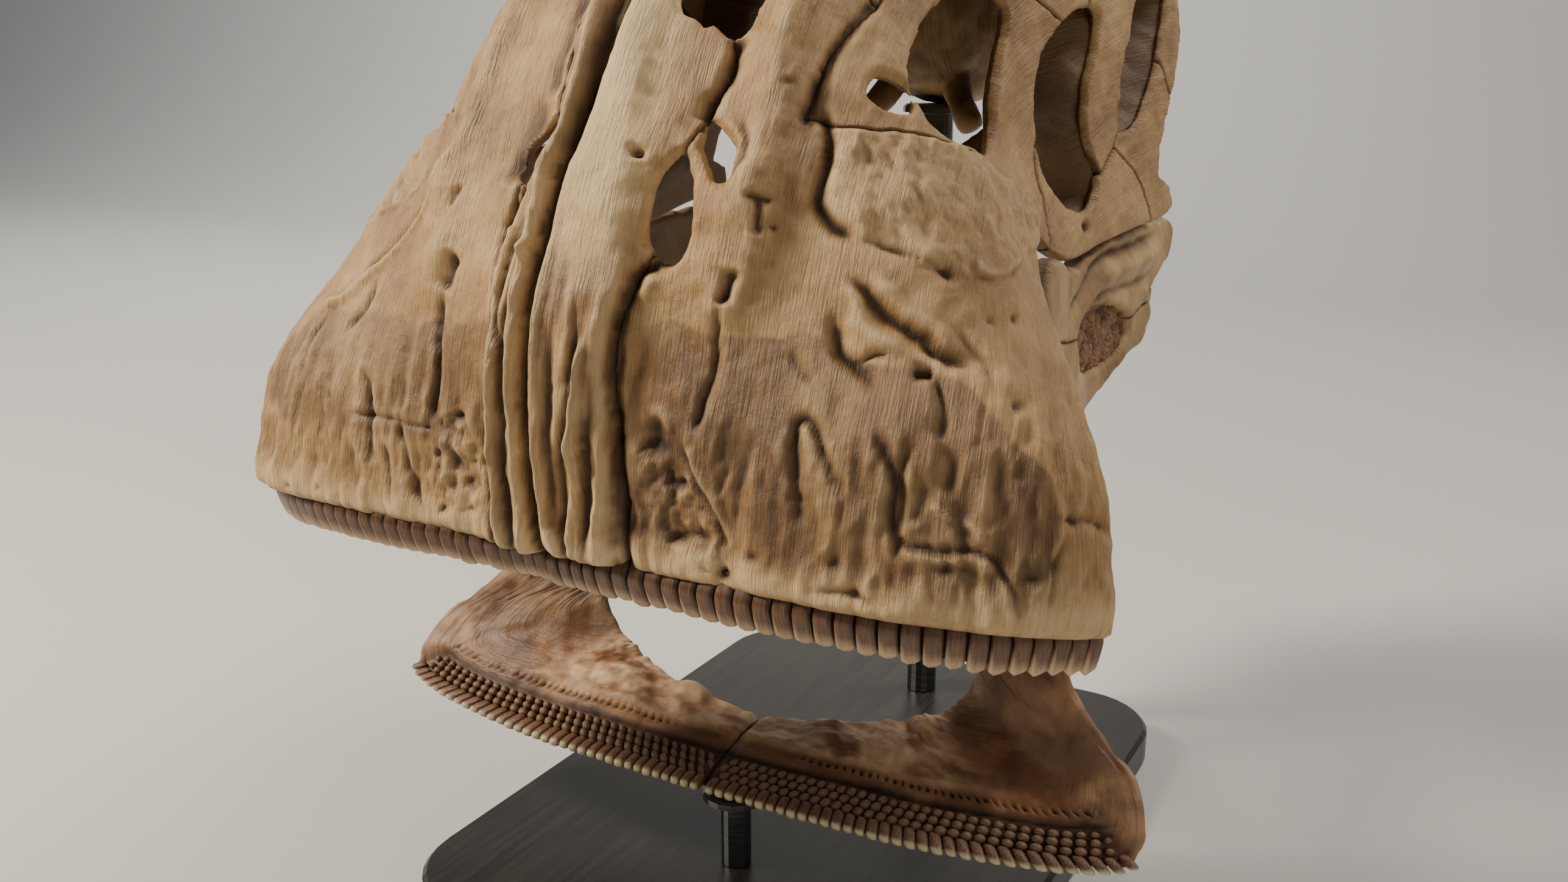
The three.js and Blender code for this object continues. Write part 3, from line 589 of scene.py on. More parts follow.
# Fine unevenness of a surface by a height, whose unit is distance metres
def roughen(nodes, links, shader, height, strength, distance):
    bump = nodes.new("ShaderNodeBump")
    bump.inputs["Strength"].default_value = strength
    bump.inputs["Distance"].default_value = distance
    links.new(height, bump.inputs["Height"])
    links.new(bump.outputs["Normal"], shader.inputs["Normal"])


# Fossil bone: light and dark tan by blotches and fibres, then the tone attribute paints
# grooves dark, patches brown, plates cream and broken places rusty
def makeBone(name, look):
    material, nodes, links, shader = newMaterial(name)
    grain, tone, parts = grainAndTone(nodes, links, look["fibreSize"], look["poreSize"])
    fibres, pores, blotches = (grain.outputs[n] for n in ("Fibres", "Pores", "Blotches"))
    tans = [(0.3, look["deep"]), (0.5, look["base"]), (0.68, look["light"])]
    base = ramp(nodes, links, blotches, tans)
    base = mixColour(nodes, links, parts.outputs["Blue"], base, look["cream"])
    lines = ramp(nodes, links, fibres, [(0.38, (0.55, 0.46, 0.38)), (0.5, (1, 1, 1))])
    base = mixColour(nodes, links, look["fibreShare"], base, lines, "MULTIPLY")
    patchy = combine(nodes, links, "MULTIPLY", parts.outputs["Green"],
                     scaled(nodes, links, blotches, 0.9, 0.5))
    base = mixColour(nodes, links, patchy, base, look["brown"])
    rust = ramp(nodes, links, pores, [(0.1, look["rustDark"]), (0.5, look["rust"])])
    base = mixColour(nodes, links, tone.outputs["Alpha"], base, rust)
    # The red tone is the dark of grooves and sutures, and also painted shade in hollows, pits, openings and
    # the inner skin
    base = mixColour(nodes, links, parts.outputs["Red"], base, look["groove"])
    links.new(base, shader.inputs["Base Color"])
    gloss = scaled(nodes, links, blotches, 0.25, look["roughness"] - 0.12)
    gloss = combine(nodes, links, "ADD", gloss,
                    combine(nodes, links, "MULTIPLY", parts.outputs["Red"], 0.25))
    links.new(gloss, shader.inputs["Roughness"])
    height = combine(nodes, links, "MULTIPLY", fibres, 0.0009 * look["bump"])  # metres
    fine = nodes.new("ShaderNodeTexNoise")
    place = nodes.new("ShaderNodeTexCoord")
    links.new(place.outputs["Object"], fine.inputs["Vector"])
    fine.inputs["Scale"].default_value = 420
    fine.inputs["Detail"].default_value = 6
    fine.inputs["Roughness"].default_value = 0.7
    grit = combine(nodes, links, "MULTIPLY", fine.outputs["Fac"], 0.0006 * look["bump"])
    height = combine(nodes, links, "ADD", height, grit)
    pit = combine(nodes, links, "MULTIPLY", pores,
                  combine(nodes, links, "MULTIPLY", tone.outputs["Alpha"], 0.0016))
    height = combine(nodes, links, "ADD", height, pit)
    roughen(nodes, links, shader, height, 0.9, 1.0)
    return material


skullLook = {
    "fibreSize": 1600.0, "fibreShare": 0.22, "poreSize": 700, "roughness": 0.46, "bump": 0.85,
    "deep": (0.235, 0.115, 0.038), "base": (0.445, 0.255, 0.098), "light": (0.62, 0.40, 0.18),
    "cream": (0.74, 0.53, 0.27), "brown": (0.095, 0.041, 0.014), "groove": (0.028, 0.012, 0.005),
    "rust": (0.30, 0.14, 0.055), "rustDark": (0.06, 0.026, 0.012),
}
# The jaw's colours are darker than the skull's: partly the jaw's own patina, partly painted shade
jawLook = {
    "fibreSize": 700.0, "fibreShare": 0.15, "poreSize": 700, "roughness": 0.46, "bump": 0.5,
    "deep": (0.15, 0.062, 0.024), "base": (0.28, 0.125, 0.050), "light": (0.44, 0.245, 0.115),
    "cream": (0.66, 0.43, 0.25), "brown": (0.075, 0.032, 0.015), "groove": (0.024, 0.011, 0.006),
    "rust": (0.30, 0.13, 0.055), "rustDark": (0.05, 0.022, 0.011),
}
skullBone = makeBone("skullBone", skullLook)
jawBone = makeBone("jawBone", jawLook)


# Tooth: brown enamel with fine lengthwise lines, paler towards the worn tip
def makeTooth(name, look):
    material, nodes, links, shader = newMaterial(name)
    grain, _, parts = grainAndTone(nodes, links, 2600, 1500)
    fibres = grain.outputs["Fibres"]
    line, gap = (tuple(share * c for c in look["brown"]) for share in (0.42, 0.16))
    base = ramp(nodes, links, fibres, [(0.35, line), (0.62, look["brown"])])
    # The blue tone is pale towards the worn tip and, on the upper crowns, a painted highlight along one edge
    share = combine(nodes, links, "MULTIPLY", parts.outputs["Blue"],
                    scaled(nodes, links, fibres, 0.8, 0.5))
    base = mixColour(nodes, links, share, base, look["pale"])
    # The red tone mixes in a near-black: painted shade down one edge of each upper crown, under each lower
    # tooth and on the rods between the crowns, and darker towards the root
    base = mixColour(nodes, links, parts.outputs["Red"], base, gap)
    links.new(base, shader.inputs["Base Color"])
    shader.inputs["Roughness"].default_value = look["roughness"]
    roughen(nodes, links, shader, fibres, 0.6, 0.0005)
    return material


upperLook = {"brown": (0.18, 0.082, 0.034), "pale": (0.72, 0.50, 0.29), "roughness": 0.34}
lowerLook = {"brown": (0.23, 0.115, 0.06), "pale": (0.66, 0.55, 0.33), "roughness": 0.38}
upperEnamel = makeTooth("upperEnamel", upperLook)
lowerEnamel = makeTooth("lowerEnamel", lowerLook)
print("materials made")

# Outer wall of the skull. Stations run from the tooth row (0) to the back of the head (11).
wallShape = {
    "crest": [(-3, 7), (-2.5, 40), (1.5, 70), (11, 100), (22, 118), (36, 141), (57, 160), (90, 174),
              (132, 184), (180, 192), (230, 195), (276, 187)],  # midline, y and z
    "edge": [(31, 0), (42, 38), (70, 66), (84, 82), (96, 88), (110, 80), (134, 70), (165, 72),
             (195, 74), (225, 76), (254, 88), (284, 104)],  # lower rim of the cheek, y and z
    "half": [135, 127, 110, 97, 92, 85, 81, 82, 87, 92, 91, 80],
    "turn": [0.86, 0.8, 0.7, 0.62, 0.54, 0.47, 0.4, 0.36, 0.34, 0.33, 0.34, 0.36],
    "spread": [0.5, 0.42, 0.32, 0.26, 0.24, 0.22, 0.2, 0.19, 0.19, 0.19, 0.2, 0.2],
    "crown": [0, 6, 17, 24, 24, 20, 14, 8, 5, 3, 3, 5],  # slope of the roof, degrees
    "wall": [100, 94, 90, 88, 86, 84, 83, 82, 83, 85, 87, 88],  # slope of the wall, degrees
    # Outward push of the cheeks, which makes the halves differ as in the specimen
    "pushLeft": [1, 0, -5.5, -2, 0, 2, 7, 8, 5, 2, 0, 0],
    "pushRight": [1.5, 4, 3.8, 0, -6, -19, -9, -3, 0, 0, 0, 0],
    "acrossCells": 210,
    "alongCells": 540,
    "thickness": 4.5,
    "rimThickness": 13.0,
}
lastStation = len(wallShape["half"]) - 1


# Half section at each station w: the heading swings from the roof's slope to the wall's by a
# cubic step round turn, its cosine and sine are summed to x and drop, and both are scaled to
# the station's width and depth. The right side is its mirror image, with u below 0, and each
# side's push is added to x.
def makeWall():
    shape = wallShape
    s = np.linspace(0, 1, shape["acrossCells"] + 1)
    w = np.linspace(0, lastStation, shape["alongCells"] + 1)
    names = ("crest", "edge", "half", "turn", "spread", "crown", "wall")
    rows = np.column_stack([shape[n] for n in names])
    crestY, crestZ, edgeY, edgeZ, half, turn, spread, crown, wall = throughRows(rows, w).T[:, :, None]
    bend = softStep((s - turn + spread) / (2 * spread))
    start = crown * np.minimum(s / 0.06, 1)
    heading = np.radians(start + (wall - start) * bend)
    x, drop = (np.cumsum(np.pad((f[:, 1:] + f[:, :-1]) / 2, ((0, 0), (1, 0))), 1)
               for f in (np.cos(heading), np.sin(heading)))
    x = x / x.max(1, keepdims=True) * half
    drop = drop / drop[:, -1:]
    left = np.stack([x, crestY + (edgeY - crestY) * drop, crestZ + (edgeZ - crestZ) * drop], -1)
    right = left[:, :0:-1] * np.array([-1, 1, 1])
    left[..., 0] += throughRows(shape["pushLeft"], w) * softStep((s - 0.62) / 0.38)
    right[..., 0] -= throughRows(shape["pushRight"], w) * softStep((s[:0:-1] - 0.33) / 0.2)
    wallSurface = makeSurface(np.concatenate([-s[:0:-1], s]), w, np.concatenate([right, left], 1))
    rim = gauss(w, 0.55)[:, None]
    thicker = shape["rimThickness"] - shape["thickness"]
    wallSurface["wall"] = shape["thickness"] + thicker * rim + 0 * wallSurface["wall"]
    return wallSurface


wall = makeWall()
wallU = np.repeat(wall["u"][None, :], len(wall["w"]), 0)
wallW = np.repeat(wall["w"][:, None], len(wall["u"]), 1)


# A wobble keeps sutures and marks from running straight
def warpWall():
    a, _, h = wall["measure"]
    points = wall["points"]
    away = softStep(abs(wallU) / 0.03)
    rise = softStep(wallW / 0.3)
    wall["warp"] = (
        away * (0.8 * roughNoise(points, 11, 5) + 0.3 * latticeNoise(points, 2.6, 6)) / a,
        rise * (roughNoise(points, 12, 9) + 0.3 * latticeNoise(points, 2.6, 7)) / h,
    )


warpWall()

# Openings of the left side. The right side has them mirrored, apart from the two that
# rightOpenings gives and two that only the left side has.
wallOpenings = {
    "lowerNostril": [(0.181, 3.42), (0.168, 3.2), (0.156, 2.95), (0.152, 2.72), (0.157, 2.55),
                     (0.176, 2.41), (0.198, 2.36), (0.219, 2.43), (0.226, 2.6), (0.219, 2.9), (0.2, 3.2)],
    "upperNostril": [(0.2, 3.9), (0.206, 3.55), (0.226, 3.24), (0.25, 3.03), (0.266, 3.05), (0.267, 3.24),
                     (0.252, 3.53), (0.226, 3.76)],
    "nostril": [(0.095, 5.15), (0.112, 4.97), (0.135, 4.93), (0.15, 4.85), (0.165, 4.9), (0.18, 4.84),
                (0.2, 4.79), (0.222, 4.9), (0.225, 5.4), (0.2, 6.1), (0.16, 6.5), (0.12, 6.2), (0.1, 5.6)],
    "platePore": [(0.104, 3.3), (0.112, 3.35), (0.123, 3.3), (0.121, 3.24), (0.11, 3.23)],
    "cheekHole": [(0.424, 4.56), (0.429, 4.77), (0.443, 4.86), (0.471, 4.88), (0.495, 4.83), (0.506, 4.7),
                  (0.505, 4.5), (0.49, 4.43), (0.465, 4.4), (0.44, 4.44)],
    "antorbital": [(0.47, 5.34), (0.49, 4.95), (0.52, 4.65), (0.555, 4.4), (0.6, 4.3), (0.66, 4.4),
                   (0.71, 4.62), (0.74, 5.1), (0.72, 5.8), (0.65, 6.4), (0.57, 6.95), (0.52, 7.15),
                   (0.48, 6.8), (0.455, 6.2)],
    "orbit": [(0.91, 7.15), (0.92, 6.75), (0.88, 6.52), (0.82, 6.5), (0.75, 6.75), (0.68, 7.07),
              (0.62, 7.5), (0.578, 7.95), (0.565, 8.3), (0.585, 8.42), (0.64, 8.25), (0.71, 7.92),
              (0.79, 7.62), (0.87, 7.46)],
    "temporal": [(0.81, 8.3), (0.77, 8.38), (0.72, 8.55), (0.64, 8.85), (0.57, 9.1), (0.525, 9.35),
                 (0.53, 9.7), (0.57, 9.85), (0.63, 9.72), (0.7, 9.42), (0.76, 9.05), (0.8, 8.65)],
}
leftOnly = ("upperNostril", "platePore")


# Path of the left side as it is (1) or mirrored (-1)
def onSide(path, sign):
    return [(sign * u, w) for u, w in path]


rightOpenings = {
    "lowerNostril": [(-0.116, 2.93), (-0.128, 3.02), (-0.118, 3.25), (-0.092, 3.5), (-0.062, 3.72),
                     (-0.046, 3.72), (-0.045, 3.45), (-0.055, 3.2), (-0.075, 3.02), (-0.095, 2.92)],
    "nostril": [(-0.07, 5.9), (-0.08, 5.6), (-0.12, 5.45), (-0.17, 5.6), (-0.2, 5.95), (-0.19, 6.35),
                (-0.14, 6.5), (-0.1, 6.3)],
}
for openingName, openingPath in wallOpenings.items():
    openHole(wall, openingPath)
    if openingName in rightOpenings:
        openHole(wall, rightOpenings[openingName])
    elif openingName not in leftOnly:
        openHole(wall, onSide(openingPath, -1))

# Free rims: the cheek's lower edge, the back of the head and the tooth rim
freeU = (1 - abs(wallU)) * wall["measure"][0]
freeW = np.minimum(wallW * 1.3, lastStation - wallW) * wall["measure"][2]
wall["lip"] = np.minimum(freeU, freeW) + 0.01

# Marks on the muzzle, as (path, width, height, taper); a height below 0 is a groove
bandMarks = [
    ([(0.02, 5.7), (0.016, 4.9), (0.008, 4.5), (-0.006, 4.1), (-0.01, 3.5), (-0.014, 2.9),
      (-0.02, 2.4), (-0.017, 1.7), (-0.015, 0.8), (-0.01, 0.3), (0.012, -0.1)], 1.7, -4.6, 0),
    ([(-0.02, 5.7), (-0.03, 5.0), (-0.024, 4.4), (-0.03, 3.6), (-0.033, 3.0), (-0.042, 2.4)], 2.3, 3.2, 0),
    ([(-0.042, 2.4), (-0.046, 1.87), (-0.04, 1.2), (-0.036, 0.67), (-0.03, 0.2), (-0.01, -0.1)], 1.7, 2.2, 0),
    ([(-0.075, 3.0), (-0.088, 2.2), (-0.086, 1.8), (-0.072, 1.41), (-0.066, 1.0), (-0.068, 0.7),
      (-0.058, 0.33), (-0.043, 0)], 1.3, -2.0, 0.3),
    ([(-0.1, 2.5), (-0.1, 1.9), (-0.093, 1.3), (-0.09, 0.8), (-0.082, 0.35), (-0.066, 0)], 1.5, 1.7, 0),
    ([(-0.09, 3.1), (-0.11, 2.79), (-0.13, 2.55), (-0.12, 2.06), (-0.113, 1.79), (-0.115, 1.22),
      (-0.115, 0.84), (-0.106, 0.35), (-0.087, -0.05)], 1.5, -3.0, 0.15),
    ([(0.002, 2.6), (0.005, 1.9), (0.007, 1.3), (0.013, 0.8), (0.022, 0.39), (0.042, 0)], 1.5, 2.1, 0.2),
    ([(0.085, 2.0), (0.074, 1.5), (0.067, 1.06), (0.053, 0.73), (0.057, 0.35), (0.058, -0.05)],
     1.6, -2.6, 0.2),
    ([(0.028, 1.9), (0.034, 1.4), (0.03, 0.9), (0.036, 0.5), (0.046, 0.1)], 1.2, -1.2, 0.3),
    ([(0.095, 1.8), (0.082, 1.3), (0.079, 0.96), (0.082, 0.65), (0.07, 0.3), (0.076, 0)], 1.4, 2.0, 0.2),
    ([(0.108, 1.5), (0.106, 0.9), (0.1, 0.45), (0.102, 0)], 1.3, -2.1, 0.3),
    ([(0.128, 1.1), (0.131, 0.77), (0.125, 0.47), (0.13, 0.1)], 1.3, 1.9, 0.3),
    ([(0.188, 2.4), (0.165, 2.3), (0.148, 2.15), (0.136, 1.95), (0.134, 1.7), (0.139, 1.3),
      (0.149, 0.9), (0.161, 0.49), (0.168, -0.05)], 1.9, -3.4, 0),
]
leftMarks = [
    ([(0.306, 2.34), (0.302, 2.2), (0.3, 2.05)], 2.1, -3.2, 0.3),
    ([(0.3, 2.1), (0.3, 1.85), (0.3, 1.55), (0.295, 1.26), (0.29, 1.0)], 1.1, -1.6, 0.3),
    ([(0.345, 4.12), (0.378, 4.0), (0.394, 3.7), (0.404, 3.36), (0.41, 3.08), (0.424, 2.87), (0.456, 2.72),
      (0.49, 2.62)], 1.9, -3.0, 0.15),
    ([(0.486, 2.63), (0.538, 2.57), (0.59, 2.51), (0.629, 2.42), (0.657, 2.28)], 1.0, -1.0, 0.3),
    ([(0.66, 2.0), (0.695, 1.83), (0.733, 1.69), (0.76, 1.5)], 1.2, -0.9, 0.3),
    ([(0.95, 6.68), (0.953, 6.72)], 1.8, -2.2, 0),
    ([(0.305, 2.91), (0.35, 2.91)], 0.9, -1.2, 0.2),
    ([(0.326, 2.92), (0.33, 2.75), (0.334, 2.58)], 1.1, -1.5, 0.3),
    ([(0.243, 3.98), (0.268, 3.63), (0.279, 3.3), (0.268, 2.95)], 1.2, -1.5, 0.3),
    ([(0.414, 1.77), (0.462, 1.49)], 1.3, -1.4, 0.4),
    ([(0.465, 2.1), (0.49, 1.83), (0.525, 1.68), (0.565, 1.5)], 2.2, -3.2, 0.35),
    ([(0.514, 1.73), (0.548, 1.79), (0.575, 1.77)], 1.0, -1.4, 0.4),
    ([(0.492, 2.32), (0.529, 2.14), (0.581, 1.99), (0.633, 1.84), (0.676, 1.74), (0.725, 1.68)],
     1.9, -3.4, 0.25),
    ([(0.484, 2.3), (0.51, 2.05), (0.545, 1.9), (0.59, 1.78)], 2.2, 1.7, 0.3),
    ([(0.512, 2.32), (0.56, 2.16), (0.62, 1.98), (0.68, 1.85)], 2.2, 1.4, 0.3),
    ([(0.612, 1.64), (0.65, 1.63)], 1.7, -2.4, 0.3),
    ([(0.65, 1.62), (0.664, 1.45), (0.668, 1.3), (0.668, 1.15)], 1.2, -1.6, 0.3),
    ([(0.472, 0.45), (0.464, 0.8), (0.448, 1.14), (0.45, 1.24), (0.466, 1.27), (0.482, 1.18),
      (0.505, 0.96), (0.54, 0.74)], 1.5, -2.4, 0.25),
    ([(0.572, 1.3), (0.595, 1.1), (0.61, 0.88), (0.61, 0.63), (0.624, 0.45)], 1.5, -2.0, 0.3),
    ([(0.626, 1.2), (0.619, 1.0), (0.624, 0.79), (0.62, 0.55)], 1.2, -1.5, 0.3),
    ([(0.62, 0.56), (0.64, 0.5), (0.724, 0.5), (0.771, 0.46), (0.797, 0.33), (0.806, 0.08)], 0.9, -1.2, 0.15),
    ([(0.627, 0.53), (0.645, 0.46), (0.72, 0.46), (0.765, 0.42), (0.787, 0.31), (0.795, 0.1)], 1.1, 1.0, 0.2),
    ([(0.671, 0.79), (0.705, 0.67)], 0.9, 1.0, 0.3),
    ([(0.724, 0.69), (0.756, 0.55)], 0.9, 1.0, 0.3),
    ([(0.87, 0.68), (0.92, 0.66), (0.98, 0.6)], 1.0, -1.0, 0.3),
    ([(0.88, 0.62), (0.86, 0.35), (0.85, 0.18)], 1.1, -1.3, 0.3),
    ([(0.38, 1.2), (0.372, 0.8), (0.365, 0.4)], 1.6, -1.3, 0.3),
    ([(0.5, 0.14), (0.56, 0.16), (0.6, 0.1)], 1.3, -1.1, 0.3),
    ([(0.214, 4.8), (0.211, 4.4), (0.197, 4.1), (0.194, 3.85)], 2.0, -3.2, 0.1),
    ([(0.178, 2.32), (0.168, 2.18), (0.158, 2.08)], 2.4, 1.6, 0.3),
]
rightMarks = [
    ([(-0.246, 2.3), (-0.256, 2.12), (-0.264, 1.95)], 2.1, -3.2, 0.3),
    ([(-0.262, 2.0), (-0.262, 1.71), (-0.253, 1.41), (-0.252, 1.08), (-0.244, 0.84)], 1.2, -1.9, 0.25),
    ([(-0.257, 2.9), (-0.276, 2.65)], 1.0, -1.3, 0.3),
    ([(-0.29, 3.4), (-0.329, 2.95), (-0.381, 2.59), (-0.429, 2.32), (-0.476, 2.06), (-0.557, 1.75),
      (-0.643, 1.59)], 1.7, 1.7, 0.2),
    ([(-0.3, 3.4), (-0.345, 2.92), (-0.4, 2.52), (-0.455, 2.22), (-0.52, 1.95)], 1.3, -1.9, 0.2),
    ([(-0.455, 1.98), (-0.471, 1.71), (-0.5, 1.45)], 1.3, -1.8, 0.3),
    ([(-0.575, 1.58), (-0.603, 1.32), (-0.597, 1.0)], 1.5, -1.6, 0.3),
    ([(-0.424, 1.22), (-0.408, 0.98), (-0.397, 0.65), (-0.395, 0.35)], 1.5, -1.6, 0.3),
    ([(-0.443, 0.81), (-0.381, 0.84), (-0.329, 0.84), (-0.29, 0.81), (-0.248, 0.81)], 0.7, -0.8, 0.1),
    ([(-0.33, 0.85), (-0.31, 0.59), (-0.295, 0.39), (-0.257, 0.12)], 1.2, -1.6, 0.2),
    ([(-0.362, 0.64), (-0.338, 0.1)], 0.8, -1.0, 0.2),
]
# Round pits, as (place, radius, depth)
pitMarks = [
    ((0.529, 0.33), 2.0, 1.2), ((0.695, 0.41), 1.9, 1.2), ((0.829, 0.37), 1.6, 1.2),
    ((0.562, 0.18), 1.4, 1.0), ((0.395, 0.29), 1.9, 1.8), ((0.805, 1.41), 1.6, 1.4),
    ((0.814, 2.0), 1.4, 1.2), ((0.638, 2.42), 1.7, 1.6), ((0.733, 2.02), 1.0, 0.9),
    ((0.345, 0.13), 2.6, 2.2), ((-0.7, 0.29), 1.3, 1.2), ((-0.61, 0.1), 1.1, 1.1),
    ((-0.519, 0.14), 1.1, 1.1), ((0.31, 4.34), 1.2, 0.7), ((0.355, 2.68), 1.0, 0.9),
    ((-0.5, 0.9), 1.3, 0.9),
]
# Broken, spongy places of the muzzle
brokenMarks = [
    ([(0.212, 1.1), (0.222, 1.02), (0.232, 0.95)], 3.4, -2.4, 0),
    ([(0.2, 1.16), (0.225, 1.2), (0.25, 1.08)], 1.3, 1.2, 0.3),
    ([(0.236, 0.86), (0.246, 0.73), (0.262, 0.71), (0.27, 0.78)], 1.2, -1.8, 0.2),
    ([(0.262, 1.0), (0.3, 0.72), (0.33, 0.5), (0.35, 0.3)], 1.3, -1.6, 0.1),
    ([(0.272, 1.0), (0.312, 0.72), (0.342, 0.5), (0.362, 0.3)], 1.4, 1.1, 0.1),
]
brokenPlaces = [
    [(-0.2, 0.95), (-0.171, 0.9), (-0.133, 0.67), (-0.118, 0.41), (-0.19, 0.2), (-0.246, 0.2),
     (-0.243, 0.53), (-0.229, 0.72)],
    [(0.21, 1.05), (0.235, 0.98), (0.28, 0.66), (0.33, 0.42), (0.352, 0.16), (0.31, 0.1), (0.25, 0.3),
     (0.2, 0.5), (0.19, 0.85)],
]
# Outlines of plates and patches that stand out or have their own colour
plateOutline = [(0.385, 3.98), (0.398, 3.69), (0.41, 3.36), (0.416, 3.08), (0.43, 2.89), (0.46, 2.73),
                (0.49, 2.64), (0.54, 2.57), (0.62, 2.44), (0.75, 2.4), (0.88, 2.6), (0.99, 2.85), (1.02, 3.4),
                (0.97, 4.15), (0.8, 4.16), (0.6, 4.15), (0.45, 4.05)]
leftPatch = [(0.2, 1.9), (0.295, 1.82), (0.357, 1.81), (0.457, 1.85), (0.55, 1.7), (0.61, 1.66),
             (0.681, 1.59), (0.729, 1.47), (0.771, 1.32), (0.819, 1.1), (0.862, 0.9), (0.876, 0.73),
             (0.85, 0.4), (0.8, 0.12), (0.5, 0.16), (0.3, 0.2), (0.17, 0.1), (0.16, 1.0)]
rightPatch = [(-0.13, 1.75), (-0.2, 1.73), (-0.324, 1.67), (-0.438, 1.71), (-0.6, 1.6), (-0.72, 1.2),
              (-0.75, 0.75), (-0.45, 0.7), (-0.3, 0.7), (-0.14, 0.8)]


# Broad forms of both sides: a round column beside the nostril, and the groove beyond it
pairedForms = [
    ([(0.3, 1.7), (0.3, 2.6), (0.302, 3.3), (0.295, 4.2), (0.28, 5.0), (0.27, 5.8)], 8.5, 4.6, 0.15),
    ([(0.345, 4.0), (0.352, 4.5), (0.375, 5.6)], 1.6, -2.6, 0),
]
# Broad forms of the middle, from the nostrils down into the band
middleForms = [
    ([(0.05, 5.6), (0.06, 4.6), (0.078, 3.8), (0.088, 3.2), (0.09, 2.5), (0.085, 1.8), (0.08, 1)],
     8.5, 2.6, 0),
    ([(-0.1, 5.4), (-0.09, 4.6), (-0.085, 4.0)], 4, -2.0, 0.2),
    ([(-0.1, 4.1), (-0.125, 3.4), (-0.15, 2.9)], 6.5, -3.2, 0.3),
    ([(-0.002, 5.7), (-0.006, 4.9), (-0.01, 4.2), (-0.016, 3.5), (-0.018, 2.9)], 3.6, -3.6, 0.3),
]


# The broad forms, the raised band of the front bones, and bell-shaped swellings of the rim
# over the teeth and of the left corner. Gives the band's share of each place.
def shapeForms():
    for sign in (1, -1):
        carveAll(wall, [(onSide(path, sign), *sizes) for path, *sizes in pairedForms])
    carveAll(wall, middleForms)
    inBand = softStep((0.15 - wallU) / 0.025) * softStep((wallU + 0.12) / 0.025)
    inBand = inBand * softStep((2.6 - wallW) / 0.8)
    wall["relief"] += 2.6 * inBand
    wall["relief"] += 1.6 * gauss(wallW - 0.16, 0.16) * (1 - 0.5 * inBand)
    wall["relief"] += 2.4 * gauss(wallW - 0.5, 0.35) * softStep((wallU - 0.75) / 0.2)
    return inBand


# Fine relief: noise stretched along the snout makes the flutes of the muzzle and the folds
# of the band, and noise in space makes dents, lumps and the spongy places
def shapeDetail(inBand):
    flow = np.stack([wall["across"], wall["along"], 0 * wallU], -1)
    muzzle = softStep((2.3 - wallW) / 1.2) * (1 - inBand)
    wall["relief"] += 1.15 * muzzle * roughNoise(flow, (8.5, 42, 1), 21)
    wall["relief"] += 0.3 * muzzle * roughNoise(flow, (2.6, 30, 1), 25, 2)
    wall["relief"] += 1.9 * inBand * (0.42 - abs(roughNoise(flow, (5.2, 52, 1), 31, 2)))
    wall["relief"] += 1.2 * inBand * (0.42 - abs(roughNoise(flow, (2.7, 44, 1), 33, 2)))
    low = softStep((1.55 - wallW) / 0.7) * softStep((wallW - 0.1) / 0.2) * (1 - inBand)
    wall["relief"] += 2.0 * low * (0.42 - abs(roughNoise(flow, (8.5, 24, 1), 23, 2)))
    wall["relief"] += 0.9 * low * (0.4 - abs(roughNoise(flow, (3.6, 8, 1), 27, 2)))
    wall["relief"] += 0.55 * roughNoise(wall["points"], 22, 41)
    wall["relief"] += 0.26 * roughNoise(wall["points"], 5, 45, 3)
    plate = np.maximum(patch(wall, plateOutline, 2.0), patch(wall, onSide(plateOutline, -1), 2.0))
    lumps = np.stack([0.8 * wall["across"] + 0.6 * wall["along"], 0.8 * wall["along"] - 0.6 * wall["across"],
                      0 * wallU], -1)
    wall["relief"] += plate * (0.7 + 0.95 * roughNoise(lumps, (4.2, 9, 1), 51, 3))
    wall["cream"] = np.maximum(wall["cream"], 0.18 * plate)
    for n, outline in enumerate(brokenPlaces):
        share = patch(wall, outline, 1.6, 2.4, 61 + n)
        rough = roughNoise(wall["points"], 4.2, 65 + n, 3)
        wall["relief"] += share * (1.3 * rough - 0.8)
        # Dark in the low places of each broken patch: painted shade
        wall["dark"] = np.maximum(wall["dark"], 0.8 * share * softStep(-0.2 - 1.3 * rough))
    plain = softStep((wallW - 2.6) / 0.6)
    wall["relief"] += 0.35 * plain * roughNoise(flow, (4, 22, 1), 71)


